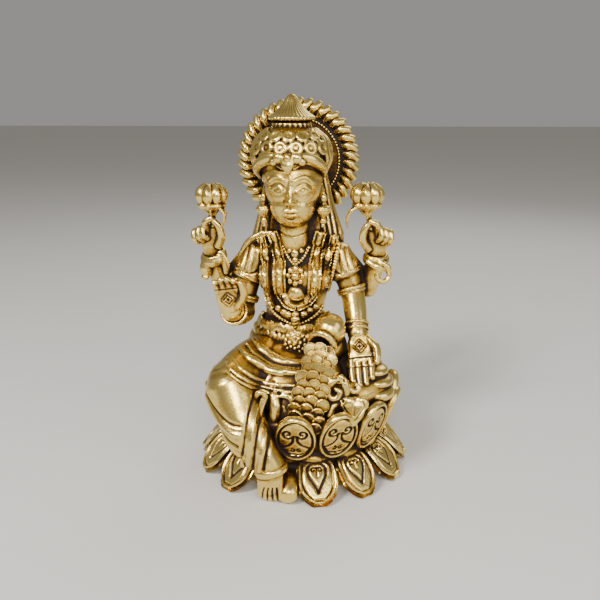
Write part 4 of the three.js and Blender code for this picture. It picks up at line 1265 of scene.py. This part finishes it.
class IDOL_OT_hands(bpy.types.Operator):
    """Model the two open hands, the two hands that hold up a lotus, and the bangles"""

    bl_idname = "idol.hands"
    bl_label = "Hands and lotuses"

    def execute(self, context):
        kept(open_hand("right_blessing_hand", (-11.8, -8.1, 19.4), (-0.10, -0.18, 1.0), FRONT, 1.2, 0.62))
        kept(open_hand("left_giving_hand", (13.7, -5.6, 13.0), (0.1, -0.62, -0.8), (0, -0.9, 0.4),
                       0.1, 1.36, -1))
        right_bud, left_bud = (-16.2, -1.8, 40.7), (14.6, -1.8, 41.1)
        kept(holding_hand("right_lotus_hand", (-16.9, 0.4, 29.0), right_bud, -1))
        kept(holding_hand("left_lotus_hand", (16.9, 1.2, 29.0), left_bud, 1))
        right_droop = [(-14.6, -2.6, 38.6), (-13.4, -3.0, 37.2), (-13.6, -2.8, 35.4), (-14.3, -2.4, 34.4)]
        left_droop = [(13.0, -2.6, 38.8), (11.6, -3.0, 38.2), (10.8, -2.8, 36.4), (10.9, -2.4, 34.8)]
        kept(lotus_bud("right_lotus", right_bud, right_droop))
        kept(lotus_bud("left_lotus", left_bud, left_droop))
        bangles = [
            ((-16.7, 0.9, 27.6), (-0.2, -0.5, 1.0), 2.15, 0.75, 1.3),
            ((-16.7, 0.6, 28.6), (-0.2, -0.5, 1.0), 2.1, 0.4, 1.0),
            ((16.8, 1.8, 27.6), (0.1, -0.4, 1.0), 2.1, 0.7, 1.3),
            ((16.9, 1.5, 28.7), (0.1, -0.4, 1.0), 2.0, 0.4, 1.0),
            ((13.1, -3.6, 15.1), (0.1, -0.6, -0.8), 2.35, 0.32, 1.0),
            ((13.2, -4.2, 14.2), (0.1, -0.6, -0.8), 2.3, 0.32, 1.0),
            ((-11.4, -6.4, 18.0), (-0.1, -0.85, 0.5), 2.5, 0.4, 1.0),
            ((-10.2, 0.2, 19.8), (-0.25, -0.2, -1.0), 2.75, 0.4, 1.0),
            ((-10.3, 0.1, 19.0), (-0.25, -0.2, -1.0), 2.7, 0.3, 1.0),
            ((11.8, 0.9, 21.6), (0.3, -0.2, -1.0), 2.75, 0.38, 1.0),
            ((12.0, 0.8, 20.8), (0.3, -0.2, -1.0), 2.7, 0.3, 1.0),
            ((-9.5, 0.8, 23.6), (-0.4, -0.2, -1.0), 3.05, 0.42, 1.2),
            ((10.7, 1.3, 24.6), (0.4, -0.2, -1.0), 3.0, 0.42, 1.2),
        ]
        rings = [hoop(*bangle) for bangle in bangles]
        rings += [
            ball((-18.2, -0.2, 25.4), (1.35, 1.3, 1.9)),
            ball((-18.3, -0.6, 23.6), (0.9, 0.9, 0.6)),
            limb([(-15.1, -0.6, 28.8), (-14.0, -0.4, 26.4), (-14.1, 0.2, 24.4)], [0.8, 0.9, 0.6],
                 flat=0.6, sides=16),
            hoop((18.2, -0.6, 24.8), (0.3, -1.0, 0.2), 1.35, 0.55),
            limb([(17.4, -0.2, 27.4), (19.2, -0.4, 26.4), (19.4, -0.4, 24.8)], [0.7, 0.6, 0.4], sides=16),
            limb([(15.4, -0.2, 27.6), (16.8, -1.0, 26.6), (18.0, -0.8, 25.8)], [0.9, 0.8, 0.5],
                 flat=0.6, sides=16),
        ]
        for k in range(3):
            shift = 0.9 * k
            rings.append(limb([(-4.4 - shift, 0.2, 33.0), (-7.6 - shift, 0.4, 31.6 - 0.4 * shift),
                               (-11.0 - 0.4 * shift, 1.0, 28.2 - shift), (-13.4, 1.4, 25.6 - shift)],
                              [0.55, 0.7, 0.7, 0.45], sides=16))
        kept(fused("bangles_and_shawl", rings, grain=0.22, rounds=2))
        return {"FINISHED"}


# Legs, drapery, coins and ornaments

class IDOL_OT_drapery(bpy.types.Operator):
    """Model the legs under their cloth, the rolled folds over the lap and the foot"""

    bl_idname = "idol.drapery"
    bl_label = "Legs and drapery"

    def execute(self, context):
        size = sizes()
        foot_angle = -math.pi / size.petals
        toes = polar(foot_angle, mm(size.tip_radius) - 1.1, 1.6)
        ankle = polar(foot_angle, mm(size.tip_radius) - 2.0, mm(size.waist_height))
        knee = np.array([-11.0, -14.4, 5.2])
        shin = (knee + ankle) / 2 + [-0.6, -1.4, 0]
        apron = [(-1.6, -2.5, 8.6), (-2.0, -8, 8.2), (-0.8, -12.6, 6.0), (0.6, -15.2, 1.6), (0.8, -15.6, -1)]
        parts = [
            limb([(-4, 1.5, 5.6), (-7.6, -7, 6.2), knee], [6.2, 5.9, 5.1], sides=48),
            limb([knee, shin, ankle], [5.15, 4.3, 2.9], sides=48),
            limb([(5, 2, 4.6), (11.5, -2.6, 5.2), (16.8, -7.4, 3.5)], [5.6, 4.8, 3.5], sides=40),
            limb([(16.6, -7.6, 3.3), (11.5, -12, 2.7), (4.4, -14.2, 2.2)], [3.5, 3.0, 2.6], sides=40),
            limb([(-7, -6, 4.2), (8, -7.4, 4.2)], [5.0, 4.4], wide=FRONT, sides=40),
            limb(apron, [6.6, 6.6, 5.6, 4.2, 3.4], flat=[0.4, 0.4, 0.4, 0.5, 0.5], sides=40, tip=0.4),
            limb([(4, -12.6, 6.0), (3.4, -15.4, 2.0), (3.0, -16.2, -1.4)], [3.6, 3.4, 3.2],
                 flat=0.6, sides=28),
        ]
        cloth = fused("draped_legs", parts, grain=0.32, rounds=5)
        folds = [
            # long folds that sweep round the shin from its outer side
            ([(-16.8, 6.2), (-15.4, 4.6), (-13.2, 2.6), (-10.2, 1.0), (-8.0, 0.7)], 0.55, -0.4),
            ([(-16.8, 3.4), (-15.2, 1.4), (-12.8, -1.0), (-10.4, -2.7), (-8.6, -3.4)], 0.55, -0.5),
            ([(-16.4, 1.4), (-14.6, -1.2), (-12.0, -4.0), (-10.4, -5.4), (-9.0, -6.6)], 0.55, -0.5),
            ([(-15.0, -0.8), (-13.2, -3.8), (-10.8, -6.8), (-8.6, -8.8)], 0.55, -0.45),
            ([(-16.8, 4.8), (-15.2, 2.9), (-12.8, 0.8), (-9.8, -0.8), (-8.2, -1.0)], 0.8, 0.4),
            ([(-16.4, 2.4), (-14.8, 0.0), (-12.4, -2.6), (-9.6, -4.6), (-7.4, -5.6)], 0.8, 0.4),
            # pleats of the hem down the inner side
            ([(-4.6, 7.2), (-6.0, 4.6), (-7.0, -1.0), (-8.2, -8.6)], 0.4, -0.4),
            ([(-3.4, 7.6), (-4.9, 4.4), (-5.9, -1.8), (-7.0, -9.2)], 0.55, 0.4),
            ([(-2.6, 6.6), (-4.0, 3.0), (-5.0, -3.0), (-6.0, -9.4)], 0.4, -0.5),
            ([(-2.0, 4.6), (-3.2, -0.6), (-4.5, -8.2)], 0.5, 0.35),
            ([(-1.0, 4.0), (-2.2, -1.0), (-3.6, -7.8)], 0.45, -0.6),
            # the edge of the cloth that runs up the thigh
            ([(-17.0, 7.6), (-14.0, 9.0), (-11.0, 10.6), (-8.0, 12.2)], 0.4, -0.3),
        ]
        carved(cloth, folds, within=(6, 40))
        outer = [([(-22, z + 0.8), (-17, z), (-12, z - 2.2), (-8, z - 4.0)], 0.6, -0.35)
                 for z in (1.5, -0.8, -3.2)]
        carved(cloth, outer, view=view_from(-60))
        lap_side = [([(x, 8.5), (x - 1.4, 5.0), (x - 2.0, 0.5)], 0.5, -0.35) for x in (-6, -3, 0, 3, 6, 9)]
        carved(cloth, lap_side, view=view_from(-100))
        carved(cloth, lap_side, view=view_from(100))
        back = [([(x * 0.75, 12.0), (x, 6.0), (x * 1.1, 0.4)], 0.55, -0.35)
                for x in (-10, -7.5, -5, -2.5, 0, 2.5, 5, 7.5, 10)]
        carved(cloth, back, view=view_from(180))
        kept(cloth)
        tree = tree_of(cloth)
        rolls = []
        lines = [
            ([(-7.4, -6.4, 12.2), (-5.0, -8.6, 10.4), (-1.5, -9.8, 9.1), (3.2, -10.6, 9.0)], 1.15),
            ([(-9.6, -9.4, 11.4), (-6.9, -11.4, 9.6), (-3.4, -12.6, 8.2), (2.2, -13.2, 7.9)], 1.1),
            ([(-10.8, -11.6, 10.2), (-7.8, -13.6, 8.0), (-4.2, -14.6, 6.4), (1.6, -15.0, 6.1)], 0.6),
            ([(-11.6, -13.0, 9.4), (-8.1, -15.0, 7.6), (-4.6, -15.8, 6.0), (1.4, -16.2, 5.3)], 0.42),
            ([(-11.2, -13.8, 8.4), (-7.6, -15.4, 6.5), (-4.1, -16.2, 5.1), (1.0, -16.6, 4.2)], 0.42),
            ([(-8.6, -8.0, 11.8), (-6.0, -10.0, 10.0), (-2.4, -11.3, 8.7), (2.8, -12.0, 8.4)], 0.5),
        ]
        for line, radius in lines:
            rolls.append(limb(draped(tree, line, 0.1 * radius), [radius * 0.6, radius, radius, radius * 0.8],
                              sides=18, rings=40, flat=0.85))
        for k, radius, count in ((3, 0.33, 32), (4, 0.33, 32), (5, 0.42, 20)):
            rolls.append(beads(draped(tree, lines[k][0], -0.5, count), radius))
        hems = [
            ([(-5.8, -17.6, 4.4), (-4.9, -17.8, 5.7), (-3.9, -17.6, 4.9), (-4.8, -18.4, 2.2),
              (-5.6, -19.4, -3.2), (-6.2, -20.6, -8.4)], [0.5, 0.6, 0.6, 0.75, 0.8, 0.5]),
            ([(-6.2, -17.6, 3.8), (-6.9, -19.0, 0.2), (-7.6, -20.0, -4.0), (-7.9, -20.8, -8.2)],
             [0.5, 0.7, 0.7, 0.5]),
            ([(-2.4, -16.4, 4.6), (-2.0, -17.2, 2.8), (-2.2, -17.4, 0.6), (-3.0, -17.2, -1.4)],
             [0.9, 1.15, 1.1, 0.6]),
            ([(-0.6, -16.4, 4.8), (0.9, -16.8, 4.4), (1.4, -17.2, 2.8), (0.5, -17.2, 1.0),
              (-0.6, -16.8, 2.6)], [0.6, 0.65, 0.6, 0.5, 0.5]),
        ]
        for line, radii in hems:
            rolls.append(limb(line, radii, flat=0.8, sides=20))
        kept(fused("rolled_folds", rolls, grain=0.19, rounds=3))
        cuff = [hoop(ankle + [0, -0.1, -0.2], (ankle - knee) * [0.4, 0.4, 1], 2.9, 0.42, 1.8)]
        across = unit(polar(foot_angle + math.pi / 2, 1, 0) + ORIGIN)
        ahead = unit(polar(foot_angle, 1, 0) + ORIGIN)
        instep = (ankle + toes) / 2
        foot_parts = [
            limb([ankle - [0, 0, 0.6], instep + [0, -0.5, 0.4], toes - ahead * 0.7], [2.35, 2.6, 2.5],
                 flat=[0.95, 0.62, 0.4], sides=32),
        ]
        for k in range(-2, 3):
            side = across * k * 1.1
            tip = toes + side + ahead * (0.25 - 0.09 * k * k) + [0, 0, -0.15]
            toe = [instep + side * 0.9 + [0, -0.6, 0.4], toes + side * 0.98 + [0, 0, 0.3], tip]
            foot_parts.append(limb(toe, [0.5, 0.56, 0.52], sides=16))
        foot = fused("right_foot", foot_parts + cuff, grain=0.17, rounds=2)
        x = toes[0]
        gaps = [([(x + k * 0.8 + 0.3, -11.9), (x + k * 0.95 + 0.1, -13.4), (x + k * 1.1, -16.2)],
                 0.28, -0.26) for k in (-1.5, -0.5, 0.5, 1.5)]
        carved(foot, gaps)
        held_above(foot, 0.02, front=-23.2)
        kept(foot)
        knee_folds = [
            ball((16.4, -7.0, 8.4), (1.5, 1.6, 1.0), segments=32),
            ball((17.0, -7.2, 6.9), (2.7, 3.0, 1.3), segments=40),
            ball((17.3, -7.4, 4.9), (3.5, 3.7, 1.5), segments=40),
            ball((17.2, -7.6, 2.5), (3.9, 4.1, 1.9), segments=40),
        ]
        kept(fused("left_knee_folds", knee_folds, grain=0.22, rounds=2))
        return {"FINISHED"}


class IDOL_OT_coins(bpy.types.Operator):
    """Model the pot on the left thigh and the stream of coins that falls from it"""

    bl_idname = "idol.coins"
    bl_label = "Pot and coins"

    def execute(self, context):
        mouth, belly = np.array([6.4, -10.4, 13.2]), np.array([7.8, -6.8, 15.0])
        out = unit(mouth - belly)
        pot = turned([
            (0, -7.4), (2.0, -6.9), (3.1, -5.4), (3.3, -4.0), (2.9, -2.6), (2.3, -1.7), (2.3, -1.2),
            (2.95, -0.6), (3.0, 0.0), (2.5, 0.35), (1.9, 0.1), (1.5, -0.6), (0, -1.4),
        ], centre=mouth, axis=out, steps=72)
        ring = hoop(mouth - out * 0.3, out, 2.8, 0.28)
        stand = ball((8, -4.4, 10.6), (3.4, 3.4, 3.6), segments=32)
        side = unit(np.cross(out, UP))
        rise = np.cross(side, out)
        teeth = []
        for angle in np.linspace(0, 2 * math.pi, 17)[:-1]:
            spot = mouth + 2.25 * (math.cos(angle) * side + math.sin(angle) * rise)
            teeth.append(ball(spot, (0.3, 0.3, 0.45), axis=out, segments=12))
        kept(fused("pot", [pot, ring, stand] + teeth, grain=0.2, rounds=1))
        rows = sizes().coin_rows
        fall = [(6.4, -11.4, 12.0), (5.8, -13.9, 9.8), (5.0, -16.4, 6.6), (4.4, -17.8, 3.2),
                (3.6, -18.6, -0.4)]
        shares = np.linspace(0, 1, rows)
        line = smooth_line(fall, shares)
        ahead = np.gradient(line, axis=0)
        rng = np.random.default_rng(3)
        coins = []
        for row in range(rows):
            down = unit(ahead[row])
            across = unit(RIGHT - (RIGHT @ down) * down)
            out = np.cross(down, across)
            half = 1.6 + 0.75 * shares[row]
            for k in (-1, 0, 1):
                shift = (0.3 if row % 2 else -0.3) + rng.uniform(-0.1, 0.1)
                centre = (line[row] + across * (k * half + shift)
                          + down * (0.25 * abs(k) + rng.uniform(-0.12, 0.12))
                          + out * (0.4 - 0.42 * abs(k) - 0.1 * k))
                face = unit(out + down * 0.55 + across * (0.2 * k + 0.08))
                radius = rng.uniform(1.36, 1.5)
                profile = [
                    (0, -0.3), (radius, -0.3), (radius, 0.06), (radius - 0.06, 0.14), (radius - 0.18, 0.14),
                    (radius - 0.26, 0.05), (radius - 0.4, 0.06), (0.3, 0.1), (0, 0.1),
                ]
                coins.append(turned(profile, centre=centre, axis=face, steps=32))
        kept(joined("coin_stream", coins), angle=35, toning=-0.2)
        bed = limb(np.asarray(fall) - [0, -0.9, 0.3], [2.2, 2.5, 2.8, 3.1, 3.2], flat=0.35, sides=24)
        kept(fused("coin_bed", [bed], grain=0.3, rounds=2))
        return {"FINISHED"}


class IDOL_OT_ornaments(bpy.types.Operator):
    """Model the pierced scroll and the heart-shaped leaf in front of the folded leg"""

    bl_idname = "idol.ornaments"
    bl_label = "Scroll and leaf"

    def execute(self, context):
        volute = [(10.6, -14.6, 7.2), (9.0, -15.0, 7.4), (7.8, -15.4, 6.0), (8.2, -15.8, 4.4),
                  (9.6, -15.8, 4.2), (10.2, -15.6, 5.4), (9.3, -15.6, 6.0)]
        parts = [
            limb(volute, [0.55, 0.75, 0.8, 0.75, 0.7, 0.6, 0.4], sides=16, wide=FRONT),
            limb([(10.2, -14.6, 8.2), (11.2, -14.6, 6.6), (11.4, -15.0, 4.6), (10.8, -15.4, 3.0)],
                 [0.6, 0.9, 0.8, 0.5], sides=16, wide=FRONT),
            limb([(11.4, -14.6, 6.2), (12.8, -14.4, 5.0), (13.8, -13.8, 5.6), (13.2, -13.8, 6.4)],
                 [0.7, 0.7, 0.6, 0.4], sides=16, wide=FRONT),
            limb([(8.4, -15.0, 7.6), (7.2, -14.6, 8.4)], [0.6, 0.3], sides=14, wide=FRONT),
            limb([(10.4, -15.4, 3.4), (8.8, -16.0, 2.2), (8.4, -16.4, 0.8)], [0.6, 0.7, 0.9],
                 sides=14, wide=FRONT),
            ball((11.8, -16.2, 3.2), (1.6, 0.8, 1.5)),
            ball((14.2, -15.8, 3.2), (1.6, 0.8, 1.5)),
            limb([(13.0, -16.1, 2.9), (13.0, -17.0, 0.9), (13.0, -17.4, -0.5)], [2.5, 1.6, 0.4],
                 flat=0.36, sides=32),
        ]
        scroll = fused("scroll_and_leaf", parts, grain=0.16, rounds=2)
        drilled = [([(x, z), (x + 0.01, z)], 0.42, -0.6) for x, z in [(9.9, 7.2), (11.0, 7.6), (10.8, 4.0)]]
        outline = [(11.4, 3.9), (11.0, 3.0), (12.0, 1.6), (13.0, 0.6), (14.0, 1.6), (15.0, 3.0), (14.6, 3.9)]
        veins = [(outline, 0.26, -0.16), ([(13.0, 3.0), (13.0, 1.5)], 0.24, -0.14)]
        carved(scroll, drilled + veins)
        kept(scroll)
        return {"FINISHED"}


# Age and painted shade

CELL = 0.33  # millimetres, of the grid in which sheltered places are found
NEAR_REACH = 0.33  # millimetres, for the gaps between neighbouring details
WIDE_REACH = 1.5  # millimetres, for the painted shade in the lee of whole forms
NEAR_OPEN = 0.24  # how full the cells are just above an open face, seen over the near reach
WIDE_OPEN = 0.34  # the same, seen over the wide reach
OPEN_TONE = 0.21  # the tone of an open, flat face, from 0 for rubbed bright to 1 for the darkest patina and painted shade
CUT_TONE = 0.35  # the tone that a deep cut adds


def face_points(piece):
    """Points over a piece's surface, in its own millimetres, close enough to fill a grid of cells."""
    mesh = piece.data
    mesh.calc_loop_triangles()
    corners = np.empty(len(mesh.loop_triangles) * 3, int)
    mesh.loop_triangles.foreach_get("vertices", corners)
    spots, _ = surface(piece)
    a, b, c = (spots[corners.reshape(-1, 3)[:, k]] for k in range(3))
    longest = np.maximum.reduce([np.linalg.norm(a - b, axis=1), np.linalg.norm(b - c, axis=1),
                                 np.linalg.norm(c - a, axis=1)])
    points = [spots]
    parts = np.clip(np.ceil(longest / CELL).astype(int) + 1, 1, 24)
    for count in np.unique(parts):
        these = parts == count
        for i in range(count + 1):
            for j in range(count + 1 - i):
                p, q = i / count, j / count
                points.append(a[these] * p + b[these] * q + c[these] * (1 - p - q))
    return np.vstack(points)


def blurred(field, reach):
    """A field of cells averaged twice along each axis, over a reach in millimetres."""
    half = max(int(round(reach / CELL)), 1)
    for axis in range(3):
        for _ in range(2):
            padded = np.pad(field, [(half + 1, half) if k == axis else (0, 0) for k in range(3)], mode="edge")
            total = np.cumsum(padded, axis=axis, dtype=np.float64)
            high = np.take(total, range(2 * half + 1, total.shape[axis]), axis=axis)
            low = np.take(total, range(0, total.shape[axis] - 2 * half - 1), axis=axis)
            field = ((high - low) / (2 * half + 1)).astype(np.float32)
    return field


def solid_cells(pieces):
    """Cells that lie inside the idol, and the grid's lowest corner."""
    points = np.vstack([face_points(piece) for piece in pieces])
    low = points.min(0) - 6
    shape_of = np.ceil((points.max(0) + 6 - low) / CELL).astype(int) + 1
    shell = np.zeros(shape_of, bool)
    shell[tuple(np.floor((points - low) / CELL).astype(int).T)] = True
    outside = np.zeros_like(shell)
    for axis in range(3):
        outside |= ~np.logical_or.accumulate(shell, axis=axis)
        outside |= ~np.flip(np.logical_or.accumulate(np.flip(shell, axis), axis=axis), axis)
    for _ in range(10):
        grown = outside.copy()
        for axis in range(3):
            for way in (1, -1):
                grown |= np.roll(outside, way, axis=axis)
        outside = grown & ~shell
    return (~outside).astype(np.float32), low


def sample(field, low, spots):
    """A field's values at spots, mixed from the eight cells round each."""
    place = (spots - low) / CELL - 0.5
    base = np.floor(place).astype(int)
    part = place - base
    value = np.zeros(len(spots))
    for corner in range(8):
        bits = np.array([(corner >> k) & 1 for k in range(3)])
        weight = np.prod(np.where(bits, part, 1 - part), axis=1)
        index = np.clip(base + bits, 0, np.array(field.shape) - 1)
        value += weight * field[tuple(index.T)]
    return value


def hollows(piece):
    """How hollow the surface is at each point, from its neighbours, in 1/mm."""
    spots, normals = surface(piece)
    edges = np.empty(len(piece.data.edges) * 2, int)
    piece.data.edges.foreach_get("vertices", edges)
    a, b = edges.reshape(-1, 2).T
    count = np.bincount(np.concatenate([a, b]), minlength=len(spots)).astype(float)
    step = spots[b] - spots[a]
    size = np.maximum((step ** 2).sum(1), 1e-6)
    bend = (np.bincount(a, (normals[a] * step).sum(1) / size, minlength=len(spots))
            + np.bincount(b, -(normals[b] * step).sum(1) / size, minlength=len(spots))) / np.maximum(count, 1)
    for _ in range(2):
        mean = (np.bincount(a, bend[b], minlength=len(spots)) + np.bincount(b, bend[a], minlength=len(spots)))
        bend = 0.5 * bend + 0.5 * mean / np.maximum(count, 1)
    return bend


class IDOL_OT_age_and_shade(bpy.types.Operator):
    """Find how sheltered each point of the surface is, which the finish turns into patina in the hollows and
    into painted shade on faces turned down and in the lee of whole forms
    """

    bl_idname = "idol.age"
    bl_label = "Age the brass"

    def execute(self, context):
        solid, low = solid_cells(PIECES)
        near, wide = blurred(solid, NEAR_REACH), blurred(solid, WIDE_REACH)
        for piece in PIECES:
            spots, normals = surface(piece)
            close = sample(near, low, spots + normals * 0.35)
            far = sample(wide, low, spots + normals * 1.0)
            bend = np.clip(hollows(piece), -1.2, 1.2)
            # Patina in the hollows comes from the near reach, the bends and the cuts; the wide reach adds
            # painted shade in the lee of whole forms.
            patina_and_shade = OPEN_TONE + 0.9 * (close - NEAR_OPEN) + 1.35 * (far - WIDE_OPEN) + 0.5 * bend
            # Painted shade: faces turned down are darkened.
            under = between(-normals[:, 2], 0.2, 0.9)
            patina_and_shade += 0.12 * under + piece["toning"]
            marks = piece.data.attributes.get("cut")
            if marks:
                depths = np.empty(len(spots))
                marks.data.foreach_get("value", depths)
                patina_and_shade += CUT_TONE * depths
            attribute = piece.data.attributes.new("patina_and_shade", "FLOAT", "POINT")
            attribute.data.foreach_set("value", np.clip(patina_and_shade, 0, 1).astype(np.float32))
        return {"FINISHED"}


# Floor, lights and camera

CAMERA_PLACE = (10.46, -132.9, 73.0)  # millimetres from the middle of the lotus's underside
CAMERA_HEADING = math.radians(4.79)  # to the left of straight ahead
CAMERA_DIP = 0.278  # radians below the level
LENS = 40.02  # millimetres
SENSOR = 36.0  # millimetres across


def area_light(name, place, target, size, power):
    """A soft white square light, its place, target and size in millimetres and its power in watts."""
    bpy.ops.object.light_add(type="AREA", location=np.asarray(place) * MM)
    light = bpy.context.object
    light.name = name
    light.rotation_euler = (Vector(target) * MM - light.location).to_track_quat("-Z", "Y").to_euler()
    light.data.size = size * MM
    light.data.energy = power
    return light


class IDOL_OT_stage(bpy.types.Operator):
    """Set the pale floor, the soft lights and the camera"""

    bl_idname = "idol.stage"
    bl_label = "Stage"

    def execute(self, context):
        bpy.ops.mesh.primitive_plane_add(size=6000 * MM, location=(0, 0, CAD_BOX[0].z - 0.02 * MM))
        floor = bpy.context.object
        floor.name = "floor"
        floor.data.materials.append(pale_paper())
        world = bpy.data.worlds.new("studio")
        world.use_nodes = True
        world.node_tree.nodes.clear()
        background = add_node(world.node_tree, "ShaderNodeBackground", {
            "Color": linear("dcdad6"), "Strength": 0.42,
        })
        add_node(world.node_tree, "ShaderNodeOutputWorld", {"Surface": background.outputs[0]})
        bpy.context.scene.world = world
        area_light("key", (-190, -260, 330), (0, 0, 40), 110, 1.75)
        area_light("front", (60, -330, 240), (0, 0, 40), 150, 0.95)
        area_light("fill", (260, -200, 150), (0, 0, 40), 220, 0.4)
        area_light("rim", (120, 240, 260), (0, 0, 45), 200, 0.3)
        camera = bpy.data.cameras.new("camera")
        camera.lens = LENS
        camera.sensor_width = SENSOR
        camera.clip_start = 1 * MM
        camera.clip_end = 10000 * MM
        holder = bpy.data.objects.new("camera", camera)
        bpy.context.collection.objects.link(holder)
        holder.location = np.asarray(CAMERA_PLACE) * MM
        holder.rotation_euler = (math.pi / 2 - CAMERA_DIP, 0, CAMERA_HEADING)
        bpy.context.scene.camera = holder
        return {"FINISHED"}


class IDOL_PT_panel(bpy.types.Panel):
    """Lists the sizes, the finish and the steps in the 3D view's sidebar"""

    bl_idname = "IDOL_PT_panel"
    bl_label = "Brass idol"
    bl_space_type = "VIEW_3D"
    bl_region_type = "UI"
    bl_category = "Idol"

    def draw(self, context):
        layout = self.layout
        for group in (context.scene.idol_sizes, context.scene.idol_finish):
            box = layout.box()
            for key in type(group).__annotations__:
                box.prop(group, key)
        for operator in OPERATORS:
            layout.operator(operator.bl_idname)


OPERATORS = (
    IDOL_OT_lotus, IDOL_OT_head, IDOL_OT_crown, IDOL_OT_halo, IDOL_OT_hair, IDOL_OT_body, IDOL_OT_jewellery,
    IDOL_OT_hands, IDOL_OT_drapery, IDOL_OT_coins, IDOL_OT_ornaments, IDOL_OT_age_and_shade, IDOL_OT_stage,
)
CLASSES = (IdolSizes, IdolFinish) + OPERATORS + (IDOL_PT_panel,)


def register():
    """Adds the settings, the steps and the panel."""
    for cls in CLASSES:
        bpy.utils.register_class(cls)
    bpy.types.Scene.idol_sizes = PointerProperty(type=IdolSizes)
    bpy.types.Scene.idol_finish = PointerProperty(type=IdolFinish)


def unregister():
    """Takes the settings, the steps and the panel out again."""
    del bpy.types.Scene.idol_finish
    del bpy.types.Scene.idol_sizes
    for cls in reversed(CLASSES):
        bpy.utils.unregister_class(cls)


def main():
    """Builds the idol and its stage."""
    register()
    bpy.ops.object.select_all(action="DESELECT")
    bpy.ops.idol.lotus()
    bpy.ops.idol.head()
    bpy.ops.idol.crown()
    bpy.ops.idol.halo()
    bpy.ops.idol.hair()
    bpy.ops.idol.body()
    bpy.ops.idol.jewellery()
    bpy.ops.idol.hands()
    bpy.ops.idol.drapery()
    bpy.ops.idol.coins()
    bpy.ops.idol.ornaments()
    bpy.ops.idol.age()
    bpy.ops.idol.stage()


if __name__ == "__main__":
    main()
